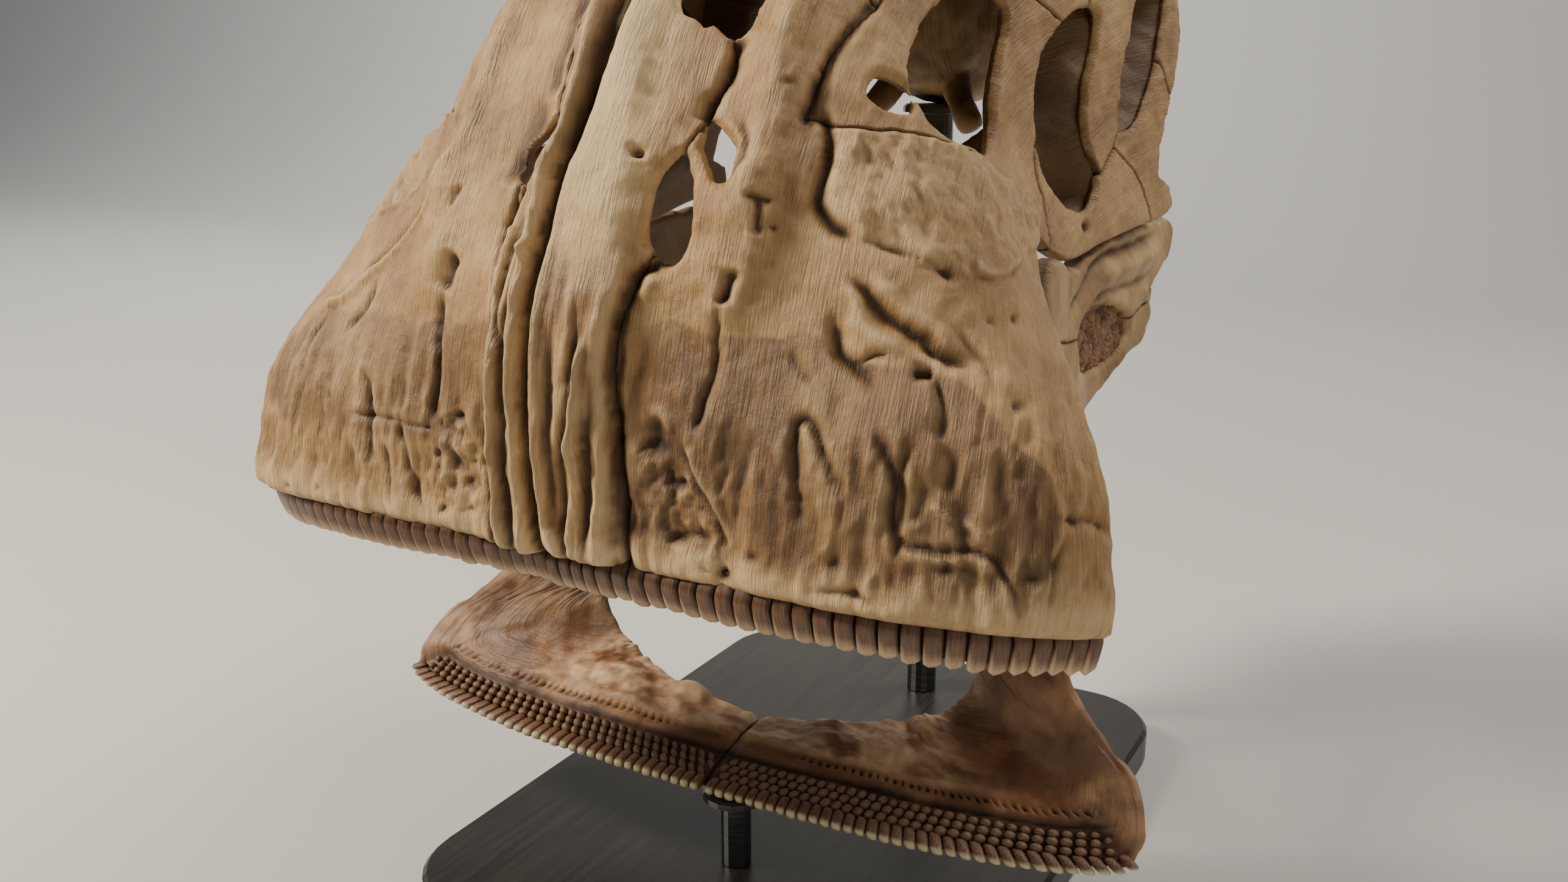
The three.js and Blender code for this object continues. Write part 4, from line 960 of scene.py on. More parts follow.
# Tones: brown patches and streaks, a cream rim over the teeth and a cream blade beside the
# nostril. Places lower than the mean of their surroundings get dark as painted shade, and
# higher ones cream as a painted highlight.
def shapeTones(inBand):
    flow = np.stack([wall["across"], wall["along"], 0 * wallU], -1)
    streaks = 0.75 + 0.45 * roughNoise(flow, (7, 30, 1), 87)
    wall["brown"] += 0.7 * streaks * patch(wall, leftPatch, 1.5, 1.2, 81)
    wall["brown"] += 0.6 * streaks * patch(wall, rightPatch, 4.0, 2.0, 83)
    wall["brown"] += 0.25 * softStep((1.5 - wallW) / 1.2) * streaks * (1 - inBand)
    rim = gauss(wallW - 0.12, 0.12)
    wall["brown"] *= 1 - 0.85 * rim
    wall["cream"] = np.maximum(wall["cream"], 0.55 * rim)
    blade = softStep((0.15 - wallU) / 0.05) * softStep(wallU / 0.03) * softStep((wallW - 2.0) / 0.6)
    wall["cream"] = np.maximum(wall["cream"], 0.8 * blade * softStep((5.6 - wallW) / 0.5))
    wall["brown"] += 0.45 * inBand * softStep(0.5 + roughNoise(flow, (6, 34, 1), 91))
    smooth = soften(wall["relief"], 4)
    # Painted shade in places lower than their surroundings
    hollow = np.clip((smooth - wall["relief"]) * 1.1 - 0.12, 0, 0.8)
    wall["dark"] = np.clip(np.maximum(wall["dark"] * 0.95, hollow), 0, 1)
    # Painted highlight on places higher than their surroundings
    ridge = np.clip((wall["relief"] - smooth) * 1.1 - 0.1, 0, 0.7)
    wall["cream"] = np.clip(wall["cream"] + ridge * 0.8, 0, 1)
    wall["brown"] *= 1 - 0.5 * ridge
    wall["brown"] = np.clip(wall["brown"], 0, 1)


bandShare = shapeForms()
for marks in (bandMarks, leftMarks, rightMarks, brokenMarks):
    carveAll(wall, marks)
for place, radius, depth in pitMarks:
    carve(wall, [place, (place[0] + 0.002, place[1])], radius, -depth)
shapeDetail(bandShare)
shapeTones(bandShare)
print("wall relief made")

# Bones of the wall, as outlines that share their corners; the band's edge differs by side
bandEdge = {
    "left": [(0.168, -0.2), (0.161, 0.49), (0.149, 0.9), (0.139, 1.3), (0.134, 1.7), (0.136, 1.95),
             (0.148, 2.15), (0.165, 2.35), (0.18, 2.6), (0.19, 3.0), (0.184, 3.42)],
    "right": [(-0.087, -0.2), (-0.106, 0.35), (-0.115, 0.84), (-0.115, 1.22), (-0.113, 1.79),
              (-0.118, 2.06), (-0.13, 2.4), (-0.128, 2.7), (-0.112, 3.0), (-0.09, 3.3)],
}
midline = [(0.012, -0.2), (-0.01, 0.3), (-0.015, 0.8), (-0.017, 1.7), (-0.02, 2.4), (-0.014, 2.9),
           (-0.01, 3.5), (-0.006, 4.1), (0.008, 4.5), (0.016, 4.9), (0.014, 5.7)]
upperSeam = {
    "left": [(0.192, 3.7), (0.195, 3.91), (0.205, 4.2), (0.212, 4.5), (0.2, 4.9), (0.1, 5.5)],
    "right": [(-0.054, 3.7), (-0.058, 4.2), (-0.066, 4.8), (-0.1, 5.5)],
}
roofBones = {
    "nasal": [(0, 5.7), (0.1, 5.5), (0.2, 5.6), (0.3, 5.9), (0.29, 6.4), (0.27, 7), (0.2, 7.25),
              (0, 7.3)],
    "lacrimal": [(0.342, 4.03), (0.4, 4.05), (0.5, 4.14), (0.64, 4.18), (0.9, 4.14), (1.05, 4.15),
                 (1.05, 5.3), (0.9, 6), (0.8, 6.4), (0.7, 7.1), (0.6, 7.95), (0.5, 7.45), (0.42, 7),
                 (0.37, 6.4), (0.385, 5.65), (0.355, 4.8)],
    "prefrontal": [(0.3, 5.9), (0.385, 5.65), (0.37, 6.4), (0.42, 7), (0.5, 7.45), (0.6, 7.95), (0.6, 8.3),
                   (0.5, 8.35), (0.4, 8), (0.3, 7.6), (0.27, 7), (0.29, 6.4)],
    "frontal": [(0, 7.3), (0.2, 7.25), (0.27, 7), (0.3, 7.6), (0.4, 8), (0.5, 8.35), (0.42, 8.8), (0.38, 9.4),
                (0.2, 9.5), (0, 9.45)],
    "postorbital": [(0.5, 8.35), (0.6, 8.3), (0.8, 7.5), (0.87, 7.6), (0.83, 8.05), (0.78, 8.45), (0.6, 9.2),
                    (0.52, 9.6), (0.42, 9.75), (0.38, 9.4), (0.42, 8.8)],
    "jugal": [(1.05, 5.3), (1.05, 8.4), (0.9, 8.35), (0.83, 8.05), (0.87, 7.6), (0.87, 6.9), (0.7, 7.1),
              (0.8, 6.4), (0.9, 6)],
    "quadratojugal": [(1.05, 8.4), (1.05, 9.12), (0.95, 9.15), (0.915, 8.85), (0.87, 9.05), (0.8, 9.62),
                      (0.68, 9.35), (0.78, 8.45), (0.83, 8.05), (0.9, 8.35)],
    "squamosal": [(0.8, 9.62), (0.72, 10.15), (0.7, 10.5), (0.62, 10.85), (0.5, 11.2), (0.36, 11.2),
                  (0.36, 10.6), (0.38, 10.1), (0.42, 9.75), (0.52, 9.6), (0.6, 9.2), (0.68, 9.35)],
}
maxillaRear = [(0.2, 5.6), (0.3, 5.9), (0.385, 5.65), (0.355, 4.8), (0.342, 4.03), (0.4, 4.05),
               (0.5, 4.14), (0.64, 4.18), (0.9, 4.14), (1.05, 4.15), (1.05, -0.2)]
parietalHalf = [(0, 9.45), (0.2, 9.5), (0.38, 9.4), (0.42, 9.75), (0.38, 10.1), (0.36, 10.6),
                (0.36, 11.2)]


# Each bone is a shell of the wall within its outline. The two front bones of a side share the
# band's edge, and the parietal crosses the middle.
def makeWallBones():
    for side, sign in (("left", 1), ("right", -1)):
        seam = bandEdge[side] + upperSeam[side]
        outlines = {"premaxilla": midline + seam[::-1], "maxilla": seam + onSide(maxillaRear, sign)}
        for name, outline in roofBones.items():
            outlines[name] = onSide(outline, sign)
        for name, outline in outlines.items():
            piece = shellPiece(f"{name}Bone_{side}", wall, outline, skullBone)
            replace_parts(piece, f"{name}_{side}")
    whole = parietalHalf + onSide(parietalHalf[:0:-1], -1)
    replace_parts(shellPiece("parietalBone", wall, whole, skullBone), "parietal")


makeWallBones()


liningShape = {
    "orbitDepth": 15, "templeDepth": 13, "margin": 2.5, "slope": 15, "thickness": 2.0,  # mm
    "wider": 1.22,  # than the opening
}


# Bowl of thin bone behind an opening: its depth under the wall is the margin plus depth times
# the cubic step of (distance from its rim / slope), and its brown and dark tones are painted
# shade, so that the opening shows a dark hollow
def liningPiece(name, outline, depth, sign):
    shape = liningShape
    outline = np.array(outline, float)
    middle = outline.mean(0)
    wide = smoothPath(middle + (outline - middle) * shape["wider"], 5, True)[:-1]
    if sign < 0:
        wide = wide * np.array([-1, 1])
    win = windowOf(wall, wide, 6)
    d, _, _, _, inside = nearestOnPath(wall, win, wide, True)
    lining = dict(wall)
    below = np.zeros(wallU.shape)
    below[win] = shape["margin"] + depth * softStep(np.where(inside, d, 0) / shape["slope"])
    below += 0.9 * roughNoise(wall["points"], 11, 161)
    lining["relief"], lining["wall"] = -below, below + shape["thickness"]
    lining["hole"], lining["lip"] = 0 * wallU + farAway, 0 * wallU + farAway
    # Brown and dark all over: painted shade inside the opening
    lining["brown"] = 0.75 + 0.25 * latticeNoise(wall["points"], 16, 163)
    lining["dark"] = np.clip(0.25 + 0.4 * roughNoise(wall["points"], 14, 165), 0, 0.6)
    lining["cream"], lining["spongy"] = 0 * wallU, 0 * wallU
    shellPiece(name, lining, wide, skullBone, 0.1, 1.5)


for side, sign in (("left", 1), ("right", -1)):
    liningPiece(f"orbitLining_{side}", wallOpenings["orbit"], liningShape["orbitDepth"], sign)
    liningPiece(f"templeLining_{side}", wallOpenings["temporal"], liningShape["templeDepth"], sign)
print("wall bones made")

# Upper teeth: pitch along the row, heading of the row, and the curved crown
upperTeeth = {
    "perSide": 30, "pitch": 5.0, "frontTeeth": 4, "frontPitch": 3.8, "gap": 0.12,
    "heading": (-0.156, 1.461, -0.147),
    "rowTilt": -0.202, "deep": 3.4, "length": 14, "backLonger": 1.9, "slant": 0.45,
    "tipLeft": -3.0, "tipRight": -2.0,  # tips below the row, in mm
    "backing": (4.8, 5.6),  # middle and half height of the painted shade rods between the crowns, in mm
    "rings": 14, "sides": 18,
}


# Heading of the row at a share k of it: the three numbers times k, k^3 and k^9
def rowHeading(k):
    first, third, ninth = upperTeeth["heading"]
    return first * k + third * k**3 + ninth * k**9


# Places along the upper row: steps in the row's heading are summed from the midline, and the
# row is then tilted down towards the back
def upperRow(counts):
    steps = 40  # per tooth
    teeth = upperTeeth
    middle = (np.arange(teeth["perSide"] * steps) + 0.5) / steps
    heading = rowHeading(middle / teeth["perSide"])
    pitch = np.where(middle < teeth["frontTeeth"], teeth["frontPitch"], teeth["pitch"]) / steps
    x = np.concatenate([[0], np.cumsum(np.cos(heading) * pitch)])
    y = np.concatenate([[0], np.cumsum(np.sin(heading) * pitch)])
    at = np.arange(len(x)) / steps
    x, y = np.interp(counts, at, x), np.interp(counts, at, y)
    tilt = teeth["rowTilt"]
    return np.stack([x, y * np.cos(tilt), y * np.sin(tilt)], -1), rowHeading(counts / teeth["perSide"])


# How far the tip of a tooth reaches below those at the front, in mm
def longerBy(number):
    return upperTeeth["backLonger"] * softStep(number / upperTeeth["perSide"] * 1.3 - 0.25)


# Teeth as parts for joinParts, from a grid of rings each; sign turns their faces outwards
def toothParts(grids, tones, grains, sign):
    parts = []
    for grid, tone, grain in zip(grids, tones, grains):
        faces = [f if sign < 0 else f[:, ::-1] for f in tubeFaces(*grid.shape[:2])]
        parts.append((withPoles(grid), faces, withPoles(tone), withPoles(grain)))
    return parts


# Painted shade between the crowns: near-black flat oval rods along the row, one behind each
# tooth, which overlap and reach from just above the tips up into the bone
def toothGapShade(sign):
    teeth = upperTeeth
    number = np.arange(teeth["perSide"])[:, None]
    share = np.linspace(-0.2, 1.2, teeth["rings"])[None, :]
    place, heading = upperRow(np.clip(number + share, 0, teeth["perSide"]).ravel())
    angle = 2 * np.pi * np.arange(teeth["sides"]) / teeth["sides"]
    back = 1.2 + 0.9 * np.cos(angle)[None, :]
    normal = np.stack([-np.sin(heading), np.cos(heading), 0 * heading], -1)
    grid = place[:, None] + normal[:, None] * back[..., None]
    lower = longerBy(number + share).reshape(-1, 1) / 2
    grid[..., 2] += teeth["backing"][0] - lower + (teeth["backing"][1] + lower) * np.sin(angle)[None, :]
    grid[..., 0] *= sign
    grid = grid.reshape(teeth["perSide"], teeth["rings"], teeth["sides"], 3)
    tone = np.zeros(grid.shape[:3] + (4,))
    # Near-black all over: painted shade in the gaps between the crowns
    tone[..., 0] = 0.95
    return grid, tone, grid * mm


# Crowns of one side in one mesh: a rounded oblong ring at each level, widest in the bone and
# drawn in at the tip by a quarter circle. Its middle bulges forwards by 1 - (1 - level)^2.2,
# and a cubic step takes it back to the row inside the bone.
def makeUpperTeeth(side, sign):
    teeth = upperTeeth
    number = np.arange(teeth["perSide"])
    place, heading = upperRow(number + 0.5)
    width = np.where(number < teeth["frontTeeth"], teeth["frontPitch"], teeth["pitch"]) - teeth["gap"]
    level = np.linspace(0, 1, teeth["rings"])[None, :, None]  # 0 at the tip, 1 in the bone
    angle = 2 * np.pi * np.arange(teeth["sides"]) / teeth["sides"]
    cos, sin = np.cos(angle), np.sin(angle)
    x = (np.sign(cos) * abs(cos) ** 0.5)[None, None, :]
    y = (np.sign(sin) * abs(sin) ** 0.6)[None, None, :]
    blunt = np.sqrt(1 - (1 - np.clip(level / 0.1, 0.1, 1)) ** 2)
    rng = np.random.default_rng(7)
    worn = rng.uniform(-0.35, 0.35, teeth["perSide"])[:, None, None]
    front = softStep(1.25 - heading / 1.2)[:, None, None]
    half = width[:, None, None] / 2 * (0.94 + 0.06 * np.sqrt(level)) * blunt
    deep = teeth["deep"] / 2 * (0.75 + 0.5 * level) * blunt
    inward = -(1.6 + 2.0 * front) * (1 - (1 - level) ** 2.2) * (1 - softStep((level - 0.5) / 0.45))
    tip = teeth["tipLeft"] if sign > 0 else teeth["tipRight"]
    longer = longerBy(number)[:, None, None]
    up = tip + (worn - longer) * (1 - level) + teeth["length"] * level + 0 * x
    across = x * half
    back = inward + 0.5 * teeth["deep"] + y * deep + teeth["slant"] * sign * x * (1 - level)
    ridge = 0.16 * np.cos(3 * angle)[None, None, :]
    back = back + np.where(sin < 0, ridge, 0) * blunt
    tangent = np.stack([np.cos(heading), np.sin(heading), 0 * heading], -1)[:, None, None, :]
    normal = np.stack([-np.sin(heading), np.cos(heading), 0 * heading], -1)[:, None, None, :]
    grid = place[:, None, None, :] + tangent * across[..., None] + normal * back[..., None]
    grid[..., 2] += up
    grid[..., 0] *= sign
    tone = np.zeros(grid.shape[:3] + (4,))
    # Pale towards the worn tip, and a painted highlight along one edge of each crown; darker towards the
    # root, and painted shade down the other edge
    tone[..., 2] = np.clip(0.9 - 3.2 * level + 2.0 * np.clip(-x * sign - 0.6, 0, 1) + 0.2 * worn, 0, 1)
    tone[..., 0] = np.clip(1.2 * level - 0.5 + 2.0 * np.clip(x * sign - 0.45, 0, 1), 0, 0.9)
    grain = np.stack([across + 9 * number[:, None, None], up, y + 0 * up], -1) * mm
    parts = toothParts(grid, tone, grain, sign) + toothParts(*toothGapShade(sign), sign)
    points, faces, tones, grains = joinParts(parts)
    meshPiece(f"upperTeeth_{side}", points, faces, upperEnamel, tones, grains)


for side, sign in (("left", 1), ("right", -1)):
    makeUpperTeeth(side, sign)
print("upper teeth made")

# Front of the lower jaw, as a band between an outer and an inner edge from the chin to the
# top of the ramus; above and below are the swell of its two faces
jawBand = {
    "outer": [(0, 67.5, -94.5), (35, 68, -94.2), (70, 69, -93.5), (101, 72, -92), (124, 77, -90),
              (134, 82.5, -86.5), (128.5, 95, -71), (113.5, 101, -58), (104.5, 105, -47), (100, 106, -30),
              (96, 106, -12), (93, 107, 1)],
    "inner": [(0, 104, -87), (30, 107, -83), (52, 111, -78.5), (62, 113.5, -73), (67, 115, -67),
              (70, 116, -61), (72, 117.5, -56), (75, 119, -50), (78, 121, -42), (82, 126, -27),
              (88, 131, -12), (91, 133, 1)],
    "above": [3, 3, 3, 4, 4, 4, 5, 5, 5, 5, 4, 4],
    "below": [17, 17, 16.5, 14.5, 12, 10, 9, 8, 7, 6, 5, 5],
    "rowEnd": 5,  # the tooth row ends at this knot
    "bed": 14.2,  # mm from the outer edge to the furrow behind the teeth
    "pits": (5.6, 3.4),  # mm from the furrow to the line of pits, and between two pits
    "rings": 330, "sides": 150,
}


# Rings of the band: centre + across * cos + up * height * sin, with up the cross product of
# across and the way along. The upper face's height is above, and the lower one is a wedge,
# thin at the outer edge and nearly as deep as below farther in.
def bandGrid(knots, sides):
    rows = np.column_stack([jawBand[n] for n in ("outer", "inner", "above", "below")])
    row = throughRows(rows, knots)
    ahead = throughRows(rows, np.clip(knots + 0.1, 0, len(rows) - 1))
    before = throughRows(rows, np.clip(knots - 0.1, 0, len(rows) - 1))
    outer, inner = row[:, :3], row[:, 3:6]
    along = (ahead - before)[:, :3] + (ahead - before)[:, 3:6]
    across = (outer - inner) / 2
    up = np.cross(across, along)
    up /= np.linalg.norm(up, axis=1, keepdims=True)
    angle = 2 * np.pi * np.arange(sides) / sides
    cos, sin = np.cos(angle), np.sin(angle)
    swell = np.where(sin > 0, row[:, 6:7], row[:, 7:8] * (0.1 + 0.6 * (1 - cos))) * sin
    grid = (outer + inner)[:, None] / 2 + across[:, None] * cos[None, :, None]
    grid = grid + up[:, None] * swell[..., None]
    return grid, cos, sin, outer, inner, up


# Knots that lie evenly along the line halfway between the band's outer edge and its middle
def evenKnots(first, last, count):
    fine = np.linspace(first, last, 600)
    rows = np.column_stack([jawBand["outer"], jawBand["inner"]])
    edge = throughRows(rows, fine)
    middle = (edge[:, :3] + edge[:, 3:6]) / 2
    edge = 0.5 * edge[:, :3] + 0.5 * middle
    length = np.concatenate([[0], np.cumsum(np.linalg.norm(np.diff(edge, axis=0), axis=1))])
    return np.interp(np.linspace(0, length[-1], count), length, fine)


# Front bone of the lower jaw: each place of the band's grid is moved along its normal by the
# relief, which sums the tooth bed, a furrow and a line of pits behind it, a swollen rim and
# noise, and the outer edge is drawn back behind the teeth
def makeDentary(side, sign):
    last = len(jawBand["outer"]) - 1
    knots = evenKnots(0, last, jawBand["rings"])
    grid, cos, sin, outer, inner, up = bandGrid(knots, jawBand["sides"])
    normals = ringNormals(grid)
    if (normals * up[:, None] * np.sign(sin)[None, :, None]).sum() < 0:
        normals = -normals
    wide = np.linalg.norm(outer - inner, axis=1)[:, None]
    fromEdge = (1 - cos)[None, :] / 2 * wide  # mm in from the outer edge
    upper = softStep(sin / 0.25)[None, :] + 0 * fromEdge
    k = knots[:, None] + 0 * fromEdge
    toothed = softStep((5.3 - k) / 0.5) * upper
    edge = np.linalg.norm(np.diff(outer, axis=0), axis=1)
    run = np.concatenate([[0], np.cumsum(edge)])[:, None] + 0 * fromEdge
    flow = np.stack([run, fromEdge, sign * 7 + 0 * run], -1)
    fade = softStep((5.8 - k) / 1.2)
    bed = jawBand["bed"] * fade + 1
    pitPlace, pitPitch = jawBand["pits"]
    relief = -2.2 * toothed * softStep((bed - fromEdge) / 2.5) * softStep(fromEdge / 3)
    furrow = gauss(fromEdge - bed - 0.6, 1.4) * toothed
    relief += -1.6 * furrow
    lineOfPits = gauss(fromEdge - bed - pitPlace, 0.75) * toothed * softStep((k - 0.5) / 0.5)
    pits = lineOfPits * softStep(2.2 * np.cos(2 * np.pi * run / pitPitch) - 0.7)
    relief += -1.5 * pits
    swollen = softStep((fromEdge - bed - 6.2) / 3) * softStep((3.6 - k) / 1.2) * upper
    relief += swollen * (1.6 + 1.7 * roughNoise(flow, (13, 6, 1), 101))
    relief += 0.7 * roughNoise(grid, 16, 103) + 0.22 * roughNoise(grid, 4, 105)
    relief += 0.25 * roughNoise(flow, (18, 2.4, 1), 107) * upper
    chin = gauss(run, 0.9)
    relief += -1.6 * chin * softStep(run / 0.8 + 0.2)
    rough = softStep((k - 4.2) / 1) * softStep((8 - k) / 1)
    relief += 0.45 * rough * roughNoise(grid, 9, 109)
    seal = softStep(np.arange(len(knots)) / 6)[:, None]
    retreat = 2.2 * softStep((cos - 0.55) / 0.4)[None, :] * softStep((5.4 - k) / 0.4)
    grid = grid + normals * (relief * seal)[..., None]
    grid = grid + ((inner - outer) / wide)[:, None] * retreat[..., None]
    grid[0, :, 0] = 0.25
    tone = np.zeros(grid.shape[:2] + (4,))
    # Painted shade in the furrow, the pits, the chin's dent and the tooth bed, with random dark blotches
    # added
    hollows = 0.9 * furrow + 0.9 * pits + 0.7 * chin + 0.45 * toothed * softStep((bed - fromEdge) / 2)
    tone[..., 0] = np.clip(hollows + np.clip(-0.5 * roughNoise(grid, 6, 111), 0, 0.3), 0, 1)
    tone[..., 1] = 0.55 * softStep(0.5 + 1.2 * roughNoise(grid, 13, 113)) * (1 - 0.7 * swollen)
    tone[..., 2] = np.clip(0.85 * swollen * softStep(0.7 + roughNoise(flow, (10, 5, 1), 115))
                           + 0.5 * softStep((fromEdge / wide - 0.86) / 0.1) + 0.25 * rough, 0, 1)
    grain = np.stack([fromEdge, run, 0 * run], -1) * mm
    points = withPoles(grid)
    faces = tubeFaces(*grid.shape[:2])
    points[:, 0] *= sign
    piece = meshPiece(f"dentaryBone_{side}", points, faces, jawBone, withPoles(tone), withPoles(grain))
    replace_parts(piece, f"dentary_{side}")


# Lower teeth: a front row of worn slabs along the outer edge, and rows of bead-like new teeth
# behind it on the upper face. Half sizes are a share of the pitch, then mm.
lowerTeeth = {
    "perSide": 34, "rings": 8, "sides": 12,
    "rows": [(2.2, 1.0), (6.9, 1.0), (10.1, 0.95), (13.1, 0.9)],  # mm from the edge, and size
    "slab": (0.47, 3.4, 1.7), "slabPower": 0.62, "slabLift": 0.9,
    "bead": (0.43, 1.75, 1.6), "beadSlant": 0.5, "beadLift": 0.35,
    "sunk": 1.6,  # mm below the band's upper face
}


# Each tooth is a ball of polar angles stretched to its half sizes, and a slab's is first made
# boxy by a power of its coordinates. Every second row is shifted by half a tooth.
def makeLowerTeeth(side, sign):
    teeth = lowerTeeth
    polar = np.linspace(0.03, np.pi - 0.03, teeth["rings"])[:, None]
    angle = 2 * np.pi * np.arange(teeth["sides"])[None, :] / teeth["sides"]
    ball = np.stack([np.sin(polar) * np.cos(angle), np.sin(polar) * np.sin(angle),
                     np.cos(polar) + 0 * angle], -1)
    edgeKnots = evenKnots(0.03, jawBand["rowEnd"] - 0.05, teeth["perSide"] * 2 + 1)
    parts = []
    rng = np.random.default_rng(11)
    for rowNumber, (inset, size) in enumerate(teeth["rows"]):
        worn = rowNumber == 0
        knots = edgeKnots[1::2] if rowNumber % 2 == 0 else edgeKnots[2:-1:2]
        _, _, _, outer, inner, up = bandGrid(knots, 8)
        along = np.gradient(outer, axis=0)
        pitch = np.linalg.norm(along, axis=1)
        along /= pitch[:, None]
        inward = inner - outer
        wide = np.linalg.norm(inward, axis=1)
        inward /= wide[:, None]
        place = outer + inward * inset
        above = np.interp(knots, np.arange(len(jawBand["above"])), jawBand["above"])
        share = np.clip(1 - 2 * inset / wide, -1, 1)
        up = up if up[:, 2].mean() > 0 else -up
        place = place + up * (above * np.sqrt(1 - share**2) - teeth["sunk"])[:, None]
        shrink = size * (1 - 0.25 * softStep((knots - 4) / 1.0))
        for n in range(len(knots)):
            ofPitch, deep, high = teeth["slab"] if worn else teeth["bead"]
            shape = np.sign(ball) * abs(ball) ** teeth["slabPower"] if worn else ball
            shape = shape * np.array([pitch[n] * ofPitch, deep, high])
            if not worn:
                shape[..., 0] += teeth["beadSlant"] * shape[..., 1]
            shape = shape * shrink[n] * rng.uniform(0.94, 1.06)
            lift = teeth["slabLift"] if worn else teeth["beadLift"]
            tooth = place[n] + up[n] * lift + along[n] * shape[..., :1]
            tooth = tooth + inward[n] * shape[..., 1:2] + up[n] * shape[..., 2:]
            tooth[..., 0] *= sign
            tone = np.zeros(tooth.shape[:2] + (4,))
            outwards = np.clip(-shape[..., 1] / deep, 0, 1)
            tone[..., 2] = np.clip(3.2 * outwards - 1.9, 0, 1) if worn else 0.08
            # Darker towards each tooth's lower side: painted shade under the tooth
            tone[..., 0] = 0.5 * softStep(-shape[..., 2] / 1.2)
            parts += toothParts([tooth], [tone], [tooth], sign)
    points, faces, tones, grains = joinParts(parts)
    meshPiece(f"lowerTeeth_{side}", points, faces, lowerEnamel, tones, grains * mm)


for side, sign in (("left", 1), ("right", -1)):
    makeDentary(side, sign)
    makeLowerTeeth(side, sign)
print("front of the lower jaw made")

# Rear of the lower jaw: an upright plate, drawn from the side as (y, z)
jawPlate = {
    "x": (91, 85.5), "turn": (105, 60), "thickness": 7.5, "bulge": 2.0,
    "grid": ((98, 274, 252), (-2, 76, 112)),  # first, last and count of y, then of z
    "outline": [(101, 58), (105, 72), (113, 73.5), (125, 69), (138, 68), (158, 69.5), (181, 71.5),
                (206, 72), (238, 71.5), (258, 70.5), (268, 67), (269, 61), (263, 55.5), (247, 51.5),
                (236, 48), (232, 39), (221, 31.5), (199, 27.5), (181, 23.5), (164, 19), (149, 13),
                (140, 6.5), (136, 1.5), (106, 1.5), (100, 20)],
    "seam": [(90, 50), (126, 48), (150, 44), (205, 41), (240, 50), (280, 58)],
    "hole": {"centre": (172, 40.5), "radii": (33, 10.5), "tilt": -0.06},
    # (path, width, height, taper), where a height below 0 is a groove
    "marks": [
        ([(120, 55), (140, 61), (165, 66), (200, 67.5), (240, 67)], 2.0, -1.8, 0.2),
        ([(125, 52), (150, 57), (185, 61), (225, 61), (255, 62)], 3.0, 2.2, 0.3),
        ([(140, 50), (170, 55), (205, 54), (235, 54)], 2.0, -1.2, 0.3),
        ([(212, 52), (222, 44), (220, 36), (205, 30)], 2.6, 1.5, 0.3),
        ([(110, 6), (112, 25), (109, 45)], 3.5, 1.6, 0.2),
    ],
}


# Oval of the plate's opening: centre + its radii times cosine and sine, turned by its tilt
def holeOval(count, longer=1.0, higher=1.0):
    hole = jawPlate["hole"]
    angle = np.linspace(0, 2 * np.pi, count, endpoint=False)
    a, b = longer * hole["radii"][0] * np.cos(angle), higher * hole["radii"][1] * np.sin(angle)
    c, s = np.cos(hole["tilt"]), np.sin(hole["tilt"])
    return np.column_stack([hole["centre"][0] + a * c - b * s, hole["centre"][1] + a * s + b * c])


# Side plate: x swells towards the middle of its height by the cosine, so that the plate is
# slightly domed, and a cubic step takes it inwards behind y = 215
def makeJawPlate():
    y, z = (np.linspace(*span) for span in jawPlate["grid"])
    ys, zs = np.meshgrid(y, z)
    (front, rear), (start, length) = jawPlate["x"], jawPlate["turn"]
    x = front + (rear - front) * softStep((ys - start) / length) + jawPlate["bulge"] * np.cos((zs - 42) / 30)
    x = x + 1.2 - 3 * softStep((ys - 215) / 50)
    plate = makeSurface(y, z, np.stack([x, ys, zs], -1))
    plate["normals"] = np.zeros(x.shape + (3,)) + np.array([1.0, 0, 0])
    plate["wall"] = plate["wall"] * 0 + jawPlate["thickness"]
    plate["warp"] = (0.9 * roughNoise(plate["points"], 10, 121), 0.9 * roughNoise(plate["points"], 10, 125))
    openHole(plate, holeOval(24))
    whole = (slice(None), slice(None))
    outline = smoothPath(jawPlate["outline"], 4, True)[:-1]
    d, _, _, _, inside = nearestOnPath(plate, whole, outline, True)
    plate["lip"] = np.where(inside, d, 0) + 0.01
    carveAll(plate, jawPlate["marks"])
    plate["relief"] += 0.7 * roughNoise(plate["points"], 15, 131) + 0.2 * roughNoise(plate["points"], 4, 133)
    plate["brown"] = 0.35 * softStep(0.4 + roughNoise(plate["points"], 14, 135))
    plate["cream"] = np.clip(0.35 + 0.4 * roughNoise(plate["points"], 20, 137), 0, 1)
    return plate


jawMatrix = {"longer": 1.12, "higher": 1.2, "sunk": 2.8, "pores": 0.9, "back": 6.5}  # last three in mm


# Spongy rock that fills the opening, sunk below the plate's face, with noise as its pores
def fillHole(plate, side, mirrored):
    outline = holeOval(40, jawMatrix["longer"], jawMatrix["higher"])
    sponge = dict(plate)
    pores = roughNoise(plate["points"], 3.0, 139, 3)
    sponge["relief"] = -jawMatrix["sunk"] + jawMatrix["pores"] * pores
    sponge["wall"] = 0 * pores + jawMatrix["back"]
    sponge["hole"] = 0 * pores + farAway
    sponge["lip"] = 0 * pores + farAway
    sponge["spongy"] = 0 * pores + 0.9
    # Darker in the low places among the pores: painted shade
    sponge["dark"] = np.clip(-0.9 * pores, 0, 0.7)
    shellPiece(f"jawMatrix_{side}", sponge, outline, skullBone, 0.1, 2.0, mirrored)


